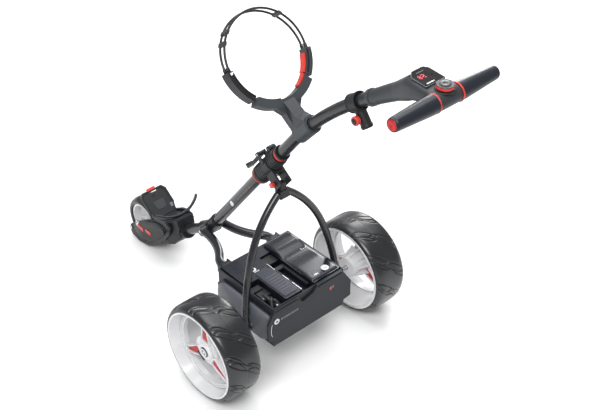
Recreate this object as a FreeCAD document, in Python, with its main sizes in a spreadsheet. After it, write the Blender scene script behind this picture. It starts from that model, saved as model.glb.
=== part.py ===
import FreeCAD, Part
import math
import os
import Sketcher

# Electric golf trolley: a tube frame on a driven pair of rear wheels and one front wheel.
# Millimetres. +X is the trolley's right, +Y is forward, +Z is up. The origin is on the ground
# under the middle of the whole trolley. Most places are first given from the rear axle's line
# (y = 0 there) and moved into the frame by at().

os.makedirs("parts", exist_ok=True)
doc = FreeCAD.newDocument("golf_trolley")
Vector = FreeCAD.Vector

# ---------------------------------------------------------------- driving dimensions
DIMENSIONS = [
    ("rear_axle_y", -92.0, "rear axle line, from the middle of the trolley"),
    ("axle_height", 133.0, "rear axle above the ground, and the rear tyre's radius"),
    ("axle_radius", 6.0, "driven axle"),
    ("wheel_mid_x", 248.0, "middle of a rear wheel from the centre plane"),
    ("wheel_width", 99.0, "rear rim, lip to lip"),
    ("rim_lip_radius", 118.5, "rear rim, outside of its lip"),
    ("tyre_radius", 133.0, "rear tyre, crown"),
    ("hub_radius", 28.0, "rear wheel hub"),
    ("tube_radius", 15.0, "main and upper tube"),
    ("tube_wall", 2.0, "wall of every frame tube"),
    ("front_tube_radius", 14.5, "front tube"),
    ("strut_radius", 9.5, "upper struts"),
    ("stay_radius", 12.0, "lower stays"),
    ("junction_y", 308.0, "fold pin of the main tube, from the rear axle"),
    ("junction_z", 205.0, "fold pin of the main tube, above the ground"),
    ("main_tilt", 52.8, "main tube above the horizontal, degrees"),
    ("front_tilt", 34.6, "front tube below the horizontal, degrees"),
    ("hinge_run", 431.0, "handle hinge, along the main tube from the fold pin"),
    ("hinge_offset", 32.0, "handle hinge pin, off the main tube's centre line"),
    ("upper_tilt", 52.8, "upper tube at the hinge, above the horizontal, degrees"),
    ("upper_bend", 17.5, "bend of the upper tube, degrees"),
    ("upper_bend_radius", 1000.0, "bend radius of the upper tube"),
    ("tray_half_width", 118.0, "battery tray, half of its width"),
    ("tray_front", 134.0, "battery tray, front face from the axle"),
    ("tray_rear", 78.0, "battery tray, rear face behind the axle"),
    ("tray_bottom", 106.0, "battery tray, underside above the ground"),
    ("tray_floor", 162.0, "underside of the battery bay's floor"),
    ("tray_top", 228.0, "rim of the battery tray"),
    ("tray_wall", 3.0, "battery tray wall"),
    ("battery_gap", 3.0, "room between battery and tray"),
    ("battery_top", 231.0, "top of the battery case"),
    ("gear_module", 1.0, "module of the drive gears"),
    ("gear_width", 9.0, "face width of the drive gears"),
    ("motor_radius", 22.0, "motor case"),
    ("front_wheel_y", 600.0, "front axle, from the rear axle"),
    ("front_wheel_radius", 71.0, "front tyre, crown"),
    ("front_tyre_half", 31.0, "half of the front tyre's width"),
    ("front_rim_radius", 52.0, "front rim"),
    ("fork_gap", 36.5, "inside face of a fork cover from the centre plane"),
    ("fork_cover", 7.0, "thickness of a fork cover"),
    ("ring_radius", 110.0, "bag strap ring"),
    ("cord_radius", 2.4, "bag strap cord"),
    ("ring_centre", 193.0, "bag ring's centre above the upper tube"),
    ("handle_y", -466.0, "handle bar, from the rear axle"),
    ("handle_z", 960.0, "handle bar, above the ground"),
    ("handle_half", 146.0, "half of the handle bar's length"),
    ("console_top", 980.0, "flat top of the console, above the ground"),
    ("dial_radius", 18.0, "speed dial"),
    ("fit", 0.06, "radial clearance of a pin that turns"),
]
sheet = doc.addObject("Spreadsheet::Sheet", "Dims")
for row, (alias, value, note) in enumerate(DIMENSIONS, start=1):
    sheet.set("A%d" % row, note)
    sheet.set("B%d" % row, str(value))
    sheet.setAlias("B%d" % row, alias)
doc.recompute()


def size(alias):
    """A driving dimension, in millimetres or degrees."""
    return float(sheet.get(alias))


# ---------------------------------------------------------------- frames of reference
AXLE_Y = size("rear_axle_y")
X_AXIS = Vector(1, 0, 0)
Y_AXIS = Vector(0, 1, 0)
Z_AXIS = Vector(0, 0, 1)


def at(x, y, z):
    """A point given from the rear axle's line, in the trolley's frame."""
    return Vector(x, y + AXLE_Y, z)


def heading(degrees):
    """A direction in the centre plane: 0 is forward, 90 is up."""
    angle = math.radians(degrees)
    return Vector(0, math.cos(angle), math.sin(angle))


def frame(origin, x_dir, y_dir):
    """Placement whose local X and Y lie along two directions at right angles."""
    x_dir = Vector(x_dir).normalize()
    y_dir = Vector(y_dir).normalize()
    z_dir = x_dir.cross(y_dir)
    matrix = FreeCAD.Matrix(
        x_dir.x, y_dir.x, z_dir.x, origin.x,
        x_dir.y, y_dir.y, z_dir.y, origin.y,
        x_dir.z, y_dir.z, z_dir.z, origin.z,
        0, 0, 0, 1)
    return FreeCAD.Placement(matrix)


def across(x, y, z):
    """Frame for a piece turned or padded along +X: its local X is forward, its Y is up."""
    return frame(at(x, y, z), Y_AXIS, Z_AXIS)


MAIN_UP = heading(180 - size("main_tilt"))
MAIN_OFF = heading(90 - size("main_tilt"))
FRONT_DOWN = heading(-size("front_tilt"))
FRONT_OFF = heading(90 - size("front_tilt"))
JUNCTION = at(0, size("junction_y"), size("junction_z"))


def on_main(along, off, x=0.0):
    """A point of the main tube's frame: along it from the fold pin, and off towards the bag."""
    return JUNCTION + MAIN_UP * along + MAIN_OFF * off + X_AXIS * x


# ---------------------------------------------------------------- building helpers
parts = {}


def keep(label, piece):
    piece.Label = label
    parts[label] = piece
    return piece


def new_body(name):
    return doc.addObject("PartDesign::Body", name)


def sketch_on(body, role, name, lift=0.0):
    """A sketch on one of the body's own origin planes, raised along the plane's normal."""
    plane = [item for item in body.Origin.OriginFeatures if item.Role == role][0]
    sketch = body.newObject("Sketcher::SketchObject", name)
    sketch.AttachmentSupport = (plane, [""])
    sketch.MapMode = "FlatFace"
    sketch.AttachmentOffset = FreeCAD.Placement(Vector(0, 0, lift), FreeCAD.Rotation())
    return sketch


def draw(sketch, corners, radius=0.0):
    """A closed outline of straight sides, its corners rounded by tangent arcs."""
    points = [Vector(x, y, 0) for x, y in corners]
    starts, ends, middles = [], [], []
    for index, here in enumerate(points):
        back = (points[index - 1] - here).normalize()
        ahead = (points[(index + 1) % len(points)] - here).normalize()
        half = back.getAngle(ahead) / 2
        setback = radius / math.tan(half)
        starts.append(here + back * setback)
        ends.append(here + ahead * setback)
        if radius:
            centre = here + (back + ahead).normalize() * (radius / math.sin(half))
            middles.append(centre + (here - centre).normalize() * radius)
    for index in range(len(points)):
        if radius:
            sketch.addGeometry(Part.Arc(starts[index], middles[index], ends[index]), False)
        following = starts[(index + 1) % len(points)]
        sketch.addGeometry(Part.LineSegment(ends[index], following), False)


def ring(sketch, x, y, formula):
    """A circle whose radius is bound to the sheet."""
    circle = Part.Circle(Vector(x, y, 0), Z_AXIS, 5)
    index = sketch.addGeometry(circle, False)
    sketch.addConstraint(Sketcher.Constraint("DistanceX", index, 3, x))
    sketch.addConstraint(Sketcher.Constraint("DistanceY", index, 3, y))
    bound = sketch.addConstraint(Sketcher.Constraint("Radius", index, 5))
    sketch.setExpression("Constraints[%d]" % bound, formula)


def pad(body, sketch, formula):
    feature = body.newObject("PartDesign::Pad", "Pad")
    feature.Profile = sketch
    feature.setExpression("Length", formula)
    sketch.Visibility = False
    return feature


def slab(label, corners, formula, place, radius=0.0, holes=()):
    """A plate: an outline padded along its own Z, with round holes (x, y, radius formula)."""
    body = new_body(label)
    sketch = sketch_on(body, "XY_Plane", "Outline")
    draw(sketch, corners, radius)
    for x, y, hole in holes:
        ring(sketch, x, y, hole)
    pad(body, sketch, formula)
    body.Placement = place
    return keep(label, body)


def turned(label, profile, place):
    """A turned piece: a profile of (radius, z) corners revolved about its own Z."""
    body = new_body(label)
    sketch = sketch_on(body, "XZ_Plane", "Profile")
    draw(sketch, profile)
    feature = body.newObject("PartDesign::Revolution", "Turn")
    feature.Profile = sketch
    feature.ReferenceAxis = (sketch, ["V_Axis"])
    feature.Angle = 360
    body.Placement = place
    return keep(label, body)


def bent_tube(body, runs, radius, wall):
    """A tube swept from the body's origin, starting along +Z and bending towards +X.

    Each run is a length, or a (bend radius, degrees) pair; negative degrees bend back.
    """
    spine = sketch_on(body, "XZ_Plane", "Spine")
    here = Vector(0, 0, 0)
    angle = 0.0
    for run in runs:
        ahead = Vector(math.sin(angle), math.cos(angle), 0)
        if isinstance(run, tuple):
            bend, degrees = run
            turn = math.radians(degrees)
            side = Vector(ahead.y, -ahead.x, 0) * math.copysign(1, turn)
            centre = here + side * bend

            def on_arc(share):
                swing = abs(turn) * share
                return centre - side * (bend * math.cos(swing)) + ahead * (bend * math.sin(swing))

            finish = on_arc(1)
            spine.addGeometry(Part.Arc(here, on_arc(0.5), finish), False)
            angle += turn
        else:
            finish = here + ahead * run
            spine.addGeometry(Part.LineSegment(here, finish), False)
        here = finish
    profile = sketch_on(body, "XY_Plane", "Section")
    ring(profile, 0, 0, radius)
    if wall:
        ring(profile, 0, 0, "%s - %s" % (radius, wall))
    pipe = body.newObject("PartDesign::AdditivePipe", "Tube")
    pipe.Profile = profile
    pipe.Spine = (spine, ["Edge%d" % (index + 1) for index in range(len(runs))])
    return pipe


def cylinder(name, radius, length, place):
    """A round bar; radius and length are numbers or sheet formulas."""
    bar = doc.addObject("Part::Cylinder", name)
    for key, value in (("Radius", radius), ("Height", length)):
        if isinstance(value, str):
            bar.setExpression(key, value)
        else:
            setattr(bar, key, value)
    bar.Placement = place
    return bar


def block(name, low, high):
    """A box between two corners given from the rear axle's line."""
    box = doc.addObject("Part::Box", name)
    corner = at(*low)
    box.Length = high[0] - low[0]
    box.Width = high[1] - low[1]
    box.Height = high[2] - low[2]
    box.Placement.Base = corner
    return box


def fused(name, pieces):
    if len(pieces) == 1:
        return pieces[0]
    union = doc.addObject("Part::MultiFuse", name)
    union.Shapes = pieces
    return union


def cut(label, base, tool):
    result = doc.addObject("Part::Cut", label)
    result.Base = base
    result.Tool = tool
    return keep(label, result)


def feature(label, shape, place=None):
    """A piece made with Part's own functions from the sheet's sizes."""
    piece = doc.addObject("Part::Feature", label)
    piece.Shape = shape
    if place:
        piece.Placement = place
    return keep(label, piece)


def mirrored_pair(name, build):
    """The same piece on both sides: -1 is the left, +1 is the right."""
    for side, sign in (("left", -1), ("right", 1)):
        build("%s_%s" % (side, name), sign)


def bar_x(name, radius, x_from, x_to, y, z):
    return cylinder(name, radius, x_to - x_from, across(x_from, y, z))


# ---------------------------------------------------------------- rear wheels
HALF_RIM = size("wheel_width") / 2
LIP = size("rim_lip_radius")
AXLE_Z = size("axle_height")
HUB = size("hub_radius")


def wheel_frame(sign):
    """Local Z points out of the wheel's outer face."""
    middle = at(sign * size("wheel_mid_x"), 0, AXLE_Z)
    return frame(middle, Y_AXIS * sign, Z_AXIS)


def rear_rim(label, sign):
    web_out = 20.0
    web_in = 7.0
    barrel = LIP - 2.5
    profile = [
        (6.3, -40), (HUB, -40), (HUB, web_in), (98, web_in), (barrel - 4, -42),
        (barrel - 4, -HALF_RIM), (LIP, -HALF_RIM), (LIP, -HALF_RIM + 4), (barrel, -HALF_RIM + 4),
        (barrel, HALF_RIM - 4), (LIP, HALF_RIM - 4), (LIP, HALF_RIM), (LIP - 5, HALF_RIM),
        (104, web_out), (HUB, web_out), (HUB, 25), (13.3, 25), (13.3, 9), (6.3, 9)]
    body = turned(label, profile, wheel_frame(sign))
    windows = sketch_on(body, "XY_Plane", "Window")
    inner, outer = 40.0, 93.0
    low, high = math.radians(270 - 52.9), math.radians(270 + 52.9)
    narrow_low, narrow_high = math.radians(270 - 36.3), math.radians(270 + 36.3)
    corners = [(inner, narrow_high), (outer, high), (outer, low), (inner, narrow_low)]
    points = [Vector(r * math.cos(a), r * math.sin(a), 0) for r, a in corners]
    windows.addGeometry(Part.LineSegment(points[0], points[1]), False)
    windows.addGeometry(Part.Arc(points[1], Vector(0, -outer, 0), points[2]), False)
    windows.addGeometry(Part.LineSegment(points[2], points[3]), False)
    windows.addGeometry(Part.Arc(points[3], Vector(0, -inner, 0), points[0]), False)
    opening = body.newObject("PartDesign::Pocket", "Windows")
    opening.Profile = windows
    opening.Type = "ThroughAll"
    opening.Midplane = True
    doc.recompute()
    spokes = body.newObject("PartDesign::PolarPattern", "Spokes")
    spokes.Originals = [opening]
    spokes.Axis = (windows, ["N_Axis"])
    spokes.Angle = 360
    spokes.Occurrences = 3
    body.Tip = spokes


def rear_tyre(label, sign):
    crown = size("tyre_radius")
    seat = LIP - 2.3
    half = [(seat, 0), (seat, 45.2), (LIP + 0.3, 45.2), (LIP + 0.3, 48), (122.5, 49),
            (127.5, 46), (131.3, 37), (crown, 22)]
    lower = [(r, -z) for r, z in reversed(half[1:])]
    turned(label, half[1:] + lower, wheel_frame(sign))


def wheel_release(label, sign):
    place = frame(at(sign * (size("wheel_mid_x") + 12.5), 0, AXLE_Z), Y_AXIS * sign, Z_AXIS)
    turned(label, [(0, 0), (12.9, 0), (12.9, 15), (10.5, 17.5), (0, 17.5)], place)


mirrored_pair("rim", rear_rim)
mirrored_pair("tyre", rear_tyre)
mirrored_pair("wheel_release", wheel_release)
AXLE_END = size("wheel_mid_x") + 8
keep("rear_axle", bar_x("rear_axle", "Dims.axle_radius", -AXLE_END, AXLE_END, 0, AXLE_Z))


# ---------------------------------------------------------------- drive gears
def gear_shape(teeth, phase=0.0):
    """A spur gear with involute teeth, a tooth centred on local X turned by phase degrees."""
    module = size("gear_module")
    pressure = math.radians(20)
    pitch = teeth * module / 2
    base = pitch * math.cos(pressure)
    tip = pitch + 0.8 * module
    root = pitch - 1.15 * module
    backlash = 0.09 * module
    half_pitch_angle = (math.pi * module / 2 - backlash) / (2 * pitch)
    at_pitch = math.tan(pressure) - pressure

    def flank_angle(radius):
        if radius <= base:
            return half_pitch_angle + at_pitch
        roll = math.acos(base / radius)
        return half_pitch_angle + at_pitch - (math.tan(roll) - roll)

    start = max(base, root)
    steps = 5
    radii = [start + (tip - start) * step / steps for step in range(steps + 1)]
    if root < base:
        radii = [root] + radii
    outline = []
    for tooth in range(teeth):
        middle = math.radians(phase) + 2 * math.pi * tooth / teeth
        rising = [(r, middle - flank_angle(r)) for r in radii]
        falling = [(r, middle + flank_angle(r)) for r in reversed(radii)]
        outline += [Vector(r * math.cos(a), r * math.sin(a), 0) for r, a in rising + falling]
    outline.append(outline[0])
    face = Part.Face(Part.makePolygon(outline))
    return face.extrude(Vector(0, 0, size("gear_width")))


AXLE_TEETH, LAY_PINION_TEETH = 42, 14
LAY_TEETH, MOTOR_TEETH = 36, 12
MODULE = size("gear_module")
LAY_Y = (AXLE_TEETH + LAY_PINION_TEETH) * MODULE / 2
MOTOR_Y = LAY_Y + (LAY_TEETH + MOTOR_TEETH) * MODULE / 2
LOW_GEAR_X, HIGH_GEAR_X = -114.0, -103.5
GEAR_WIDTH = size("gear_width")


def shaft_shape(radius, x_from, x_to):
    """A shaft along local Z; local Z = 0 is the trolley's centre plane."""
    return Part.makeCylinder(radius, x_to - x_from, Vector(0, 0, x_from))


def shifted(shape, x):
    shape.translate(Vector(0, 0, x))
    return shape


axle_gear = shifted(gear_shape(AXLE_TEETH), LOW_GEAR_X)
axle_bore = shaft_shape(size("axle_radius") + 0.1, LOW_GEAR_X - 1, LOW_GEAR_X + GEAR_WIDTH + 1)
feature("axle_gear", axle_gear.cut(axle_bore), across(0, 0, AXLE_Z))

lay_pinion = shifted(gear_shape(LAY_PINION_TEETH, 180 / LAY_PINION_TEETH), LOW_GEAR_X)
lay_gear = shifted(gear_shape(LAY_TEETH), HIGH_GEAR_X)
lay_shaft = shaft_shape(4.0, -114.6, -92.3)
feature("layshaft_gear", lay_pinion.fuse([lay_gear, lay_shaft]), across(0, LAY_Y, AXLE_Z))

motor_pinion = shifted(gear_shape(MOTOR_TEETH, 180 / MOTOR_TEETH), HIGH_GEAR_X)
rotor_shaft = shaft_shape(3.5, -104.5, 52)
rotor_core = shaft_shape(size("motor_radius") - 4.5, -74, 40)
feature("motor_rotor", motor_pinion.fuse([rotor_shaft, rotor_core]), across(0, MOTOR_Y, AXLE_Z))


# ---------------------------------------------------------------- power unit
TRAY_X = size("tray_half_width")
FRONT = size("tray_front")
REAR = -size("tray_rear")
BOTTOM, FLOOR, TOP = size("tray_bottom"), size("tray_floor"), size("tray_top")
WALL = size("tray_wall")
STAY_EYE_Y, STAY_X = 150.0, 83.0
STAY_Z = size("junction_z")
STRUT_Y, STRUT_Z, STRUT_X = -16.0, 150.0, 155.0
PIN_RADIUS = 5.0


def clevis_ears(sign):
    """Two ears on the tray's front wall for the eye of a stay."""
    ears = []
    for gap in (-17.0, 13.0):
        x = sign * STAY_X + gap
        ear = block("Ear", (x, FRONT - 1, STAY_Z - 12), (x + 4, STAY_EYE_Y + 11, STAY_Z + 12))
        ears.append(ear)
    return ears


shell = block("Shell", (-TRAY_X, REAR, BOTTOM), (TRAY_X, FRONT, TOP))
bay = block("BatteryBay", (-TRAY_X + WALL, REAR + WALL, FLOOR + WALL),
            (TRAY_X - WALL, FRONT - WALL, TOP + 1))
engine_room = block("MotorBay", (-TRAY_X + WALL, REAR + WALL, BOTTOM - 1),
                    (TRAY_X - WALL, FRONT - WALL, FLOOR))
axle_way = bar_x("AxleWay", 12.2, -TRAY_X - 1, TRAY_X + 1, 0, AXLE_Z)
bolt_way = bar_x("BoltWay", PIN_RADIUS + 0.1, -TRAY_X - 1, TRAY_X + 1, STRUT_Y, STRUT_Z)
pin_way = bar_x("PinWay", PIN_RADIUS + 0.1, -TRAY_X, TRAY_X, STAY_EYE_Y, STAY_Z)
cable_way = cylinder("CableWay", 5.0, 12, FreeCAD.Placement(at(-92, -50, FLOOR - 4),
                                                            FreeCAD.Rotation()))
tray_solid = fused("TraySolid", [shell] + clevis_ears(-1) + clevis_ears(1))
tray_ways = fused("TrayWays", [bay, engine_room, axle_way, bolt_way, pin_way, cable_way])
cut("tray", tray_solid, tray_ways)

PANEL_CORNERS = [
    (-140, 136), (-54, 126), (-42, 121), (24, 126), (34, 135), (96, 126), (140, 131), (140, 180),
    (110, 228), (24, 228), (10, 212), (-7, 208), (-24, 203), (-33, 213), (-40, 226), (-118, 226),
    (-140, 190)]
PANEL_PLACE = frame(at(0, REAR - 0.2, 0), X_AXIS, Z_AXIS)
slab("rear_panel", PANEL_CORNERS, "2 * Dims.tray_wall", PANEL_PLACE, 3.0)


def side_cover(label, sign):
    corners = [(REAR, 112), (FRONT - 14, 112), (FRONT, 128), (FRONT, 186), (FRONT - 22, 208),
               (REAR, 208)]
    x = sign * TRAY_X + (0.2 if sign > 0 else -4.2)
    holes = [(0, AXLE_Z, "12.4"), (STRUT_Y, STRUT_Z, "5.2")]
    place = frame(at(x, 0, 0), Y_AXIS, Z_AXIS)
    slab(label, corners, "4", place, 4.0, holes)


mirrored_pair("side_cover", side_cover)


def group(label, shapes, place=None):
    """Loose pieces of one kind that share a node."""
    return feature(label, Part.makeCompound(shapes), place)


def rod(radius, x_from, x_to, y, z):
    return Part.makeCylinder(radius, x_to - x_from, at(x_from, y, z), X_AXIS)


def ring_shape(outer, inner, x_from, x_to, y, z):
    return rod(outer, x_from, x_to, y, z).cut(rod(inner, x_from - 1, x_to + 1, y, z))


RACE = size("axle_radius") + size("fit")
group("axle_bearings", [ring_shape(12.0, RACE, *span, 0, AXLE_Z)
                        for span in ((-122, -116.9), (114, 122))])

pins = []
for sign in (-1, 1):
    stay_pin = sorted((sign * (STAY_X - 18), sign * (STAY_X + 18)))
    pins.append(rod(PIN_RADIUS, *stay_pin, STAY_EYE_Y, STAY_Z))
    bolt = sorted((sign * (TRAY_X - WALL + 0.3), sign * (STRUT_X + 12.5)))
    head = sorted((sign * (STRUT_X + 12.5), sign * (STRUT_X + 18)))
    shank = rod(PIN_RADIUS, *bolt, STRUT_Y, STRUT_Z)
    pins.append(shank.fuse(rod(9.0, *head, STRUT_Y, STRUT_Z)))
group("frame_pins", pins)

MOTOR_R = size("motor_radius")
case_outer = bar_x("CaseOuter", "Dims.motor_radius", -82, 56, MOTOR_Y, AXLE_Z)
case_inner = bar_x("CaseInner", "Dims.motor_radius - 2.5", -78, 50, MOTOR_Y, AXLE_Z)
case_shaft = bar_x("CaseShaft", 3.5 + size("fit"), -83, 53, MOTOR_Y, AXLE_Z)
cut("motor_case", case_outer, fused("CaseRoom", [case_inner, case_shaft]))

box_outer = block("BoxOuter", (-114.9, -26, 108), (-84.4, 80, 158))
box_room = block("BoxRoom", (-116, -24, 110.6), (-92, 78, 155.4))
box_axle = bar_x("BoxAxle", 6.4, -95, -80, 0, AXLE_Z)
box_motor = bar_x("BoxMotor", 3.9, -95, -80, MOTOR_Y, AXLE_Z)
cut("gearbox_case", box_outer, fused("BoxWays", [box_room, box_axle, box_motor]))

cable = new_body("power_cable")
bent_tube(cable, [22.0, (20.0, 90.0), 10.0], "Dims.cord_radius * 1.4", None)
cable.Placement = frame(at(-92, -50, FLOOR + 3.2), Y_AXIS, X_AXIS * -1)
keep("power_cable", cable)
keep("battery_plug", block("battery_plug", (-104, -19.6, 197), (-74.5, 14, 218)))

# ---------------------------------------------------------------- battery
CASE_FLOOR = FLOOR + WALL + 0.5
CASE_SPLIT = 205.0
CASE_TOP = size("battery_top")
GAP = size("battery_gap")
CASE_X = TRAY_X - WALL - GAP
CASE_FRONT, CASE_REAR = FRONT - WALL - GAP, REAR + WALL + GAP
BATTERY_PLAN = [(-70, CASE_REAR), (CASE_X, CASE_REAR), (CASE_X, CASE_FRONT),
                (-CASE_X, CASE_FRONT), (-CASE_X, 34), (-70, 34)]
CHANNEL = (-16.0, 22.0)


def plan_block(name, low_z, high_z, inset):
    """The battery's plan outline as a block, drawn in by an inset."""
    corners = []
    for x, y in BATTERY_PLAN:
        step_x = inset if x < 0 else -inset
        step_y = -inset if y == CASE_FRONT else inset
        corners.append((x + step_x, y + step_y))
    body = new_body(name)
    sketch = sketch_on(body, "XY_Plane", "Plan")
    draw(sketch, corners, 5.0)
    pad(body, sketch, str(high_z - low_z))
    body.Placement.Base = at(0, 0, low_z)
    return body


tub = plan_block("Tub", CASE_FLOOR, CASE_SPLIT, 0.0)
tub_room = plan_block("TubRoom", CASE_FLOOR + 3, CASE_SPLIT + 1, 3.0)
cut("battery_case", tub, tub_room)
lid = plan_block("Lid", CASE_SPLIT + 0.2, CASE_TOP, 0.0)
lid_rooms = [
    block("Channel", (CHANNEL[0], CASE_REAR - 1, 209), (CHANNEL[1], CASE_FRONT - 34, CASE_TOP + 1)),
    block("RightRoom", (CHANNEL[1] + 4, CASE_REAR + 4, CASE_SPLIT), (CASE_X - 4, CASE_FRONT - 6, 227)),
    block("LeftRoom", (-65, CASE_REAR + 4, CASE_SPLIT), (CHANNEL[0] - 4, CASE_FRONT - 6, 227))]
cut("battery_lid", lid, fused("LidRooms", lid_rooms))

cells = []
CELL_RADIUS, CELL_LENGTH = 10.4, 65.0
LOW_ROW, HIGH_ROW = 181.0, 203.5
for cell_x in (-54.0, -32.0, -10.0, 12.0, 37.0, 59.0, 81.0):
    in_channel = CHANNEL[0] < cell_x < CHANNEL[1]
    heights = (LOW_ROW,) if in_channel else (LOW_ROW, HIGH_ROW)
    for cell_z in heights:
        for cell_y in (-66.0, 3.0):
            foot = at(cell_x, cell_y, cell_z)
            cells.append(Part.makeCylinder(CELL_RADIUS, CELL_LENGTH, foot, Y_AXIS))
group("battery_cells", cells)

BAIL_Y, BAIL_Z, BAIL_LENGTH = -52.0, 219.0, 96.0
bail_low = fused("BailOuter", [
    block("BailLoop", (CHANNEL[0] + 2, BAIL_Y, BAIL_Z - 4),
          (CHANNEL[1] - 2, BAIL_Y + BAIL_LENGTH, BAIL_Z + 4)),
    bar_x("BailBarrel", 4.5, CHANNEL[0] + 2, CHANNEL[1] - 2, BAIL_Y, BAIL_Z)])
bail_room = block("BailRoom", (CHANNEL[0] + 9, BAIL_Y - 6, BAIL_Z - 6),
                  (CHANNEL[1] - 9, BAIL_Y + BAIL_LENGTH - 12, BAIL_Z + 6))
cut("battery_handle", bail_low, bail_room)

# ---------------------------------------------------------------- lower frame
EYE_RADIUS = 12.0


def eyed_tube(label, runs, radius, place, eyes):
    """A bent tube with solid eyes across its ends: (centre, x from, x to, radius, bore)."""
    body = new_body(label + "_tube")
    bent_tube(body, runs, radius, "Dims.tube_wall")
    body.Placement = place
    barrels = []
    bores = []
    for (y, z), x_from, x_to, outer, bore in eyes:
        barrels.append(bar_x("Eye", outer, x_from, x_to, y, z))
        bores.append(bar_x("Bore", bore, x_from - 6, x_to + 6, y, z))
    cut(label, fused(label + "_solid", [body] + barrels), fused(label + "_bores", bores))


STAY_END_X = 31.5
STAY_LEAD = 9.0
stay_rise = size("junction_y") - STAY_EYE_Y - 2 * STAY_LEAD
stay_step = STAY_X - STAY_END_X
STAY_ANGLE = 2 * math.degrees(math.atan(stay_step / stay_rise))
stay_radii = stay_rise / math.sin(math.radians(STAY_ANGLE))
REAR_BEND = 42.0


def stay(label, sign):
    runs = [STAY_LEAD, (REAR_BEND, STAY_ANGLE), (stay_radii - REAR_BEND, -STAY_ANGLE), STAY_LEAD]
    place = frame(at(sign * STAY_X, STAY_EYE_Y, STAY_Z), X_AXIS * -sign, Z_AXIS * sign)
    rear_eye = sorted((sign * (STAY_X - 12.4), sign * (STAY_X + 12.4)))
    front_eye = sorted((sign * (STAY_END_X - 8), sign * (STAY_END_X + 8)))
    bore = PIN_RADIUS + size("fit")
    eyed_tube(label, runs, "Dims.stay_radius", place, [
        ((STAY_EYE_Y, STAY_Z), *rear_eye, EYE_RADIUS + 1, bore),
        ((size("junction_y"), size("junction_z")), *front_eye, EYE_RADIUS + 2, bore)])


mirrored_pair("stay", stay)

STRUT_TOP_X = 14.0
CROWN = (19.0, 485.0)
strut_line = Vector(0, CROWN[0] - STRUT_Y, CROWN[1] - STRUT_Z)
STRUT_UP = Vector(strut_line).normalize()
STRUT_RISE = strut_line.Length - 12
STRUT_LEAN = [math.radians(angle) for angle in (4.0, 19.0, 53.0)]


def strut_bends():
    """Radii of the long lower arc and the short upper one, from the bolt to the crown."""
    low, middle, high = STRUT_LEAN
    step = STRUT_X - STRUT_TOP_X
    in_low, in_high = math.cos(low) - math.cos(middle), math.cos(middle) - math.cos(high)
    up_low, up_high = math.sin(middle) - math.sin(low), math.sin(high) - math.sin(middle)
    scale = in_low * up_high - in_high * up_low
    return ((step * up_high - STRUT_RISE * in_high) / scale,
            (STRUT_RISE * in_low - step * up_low) / scale)


def strut(label, sign):
    """One tube in two arcs from the strut bolt to the crown."""
    low, middle, high = STRUT_LEAN
    long_radius, short_radius = strut_bends()
    runs = [(long_radius, math.degrees(middle - low)), (short_radius, math.degrees(high - middle))]
    inward = X_AXIS * -sign
    tube_up = STRUT_UP * math.cos(low) + inward * math.sin(low)
    bend_side = inward * math.cos(low) - STRUT_UP * math.sin(low)
    place = frame(at(sign * STRUT_X, STRUT_Y, STRUT_Z), bend_side, tube_up.cross(bend_side))
    eye = sorted((sign * (STRUT_X - 10), sign * (STRUT_X + 12)))
    eyed_tube(label, runs, "Dims.strut_radius", place, [
        ((STRUT_Y, STRUT_Z), *eye, EYE_RADIUS, PIN_RADIUS + size("fit"))])


mirrored_pair("strut", strut)


def off_axis(origin, along):
    """Frame at a point with local Z along a direction of the centre plane."""
    return frame(origin, X_AXIS, Vector(along).cross(X_AXIS))


crown_top = (Vector(strut_line).normalize() * STRUT_RISE) + at(0, STRUT_Y, STRUT_Z)
CROWN_PLACE = frame(crown_top, X_AXIS, STRUT_UP.cross(X_AXIS))


def centred_box(name, half_x, half_y, low_z, high_z, place):
    """A box centred on its frame's X and Y, from low_z to high_z along its Z."""
    box = doc.addObject("Part::Box", name)
    box.Length, box.Width, box.Height = 2 * half_x, 2 * half_y, high_z - low_z
    box.Placement = place.multiply(FreeCAD.Placement(Vector(-half_x, -half_y, low_z),
                                                     FreeCAD.Rotation()))
    return box


crown_parts = [centred_box("CrownBlock", 14, 10.2, -12, 9, CROWN_PLACE),
               centred_box("CrownTongue", 8, 8, 5, 30, CROWN_PLACE)]
sockets = []
for sign in (-1, 1):
    lean = Vector(-sign * math.sin(STRUT_LEAN[2]), 0, math.cos(STRUT_LEAN[2]))
    foot = Vector(sign * STRUT_TOP_X, 0, 0) - lean * 45
    local = FreeCAD.Placement(foot, FreeCAD.Rotation(Z_AXIS, lean))
    sockets.append(cylinder("CrownSocket", 10.6, 45.5, CROWN_PLACE.multiply(local)))
cut("strut_crown", fused("CrownSolid", crown_parts), fused("CrownSockets", sockets))

# ---------------------------------------------------------------- main frame
TUBE = size("tube_radius")
SOCKET_START, SOCKET_END = 19.0, 46.0
CASTING_HALF, CASTING_RADIUS = 18.0, 19.0


def straight_tube(label, radius, origin, along, length):
    """A hollow straight tube along a direction of the centre plane."""
    body = new_body(label)
    bent_tube(body, [length], radius, "Dims.tube_wall")
    body.Placement = off_axis(origin, along)
    return keep(label, body)


def bar_along(name, radius, origin, along, start, finish):
    return cylinder(name, radius, finish - start, off_axis(origin + along * start, along))


straight_tube("main_tube", "Dims.tube_radius", JUNCTION + MAIN_UP * 20, MAIN_UP, 350)
straight_tube("front_tube", "Dims.front_tube_radius", JUNCTION + FRONT_DOWN * 20, FRONT_DOWN, 155)

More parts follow.
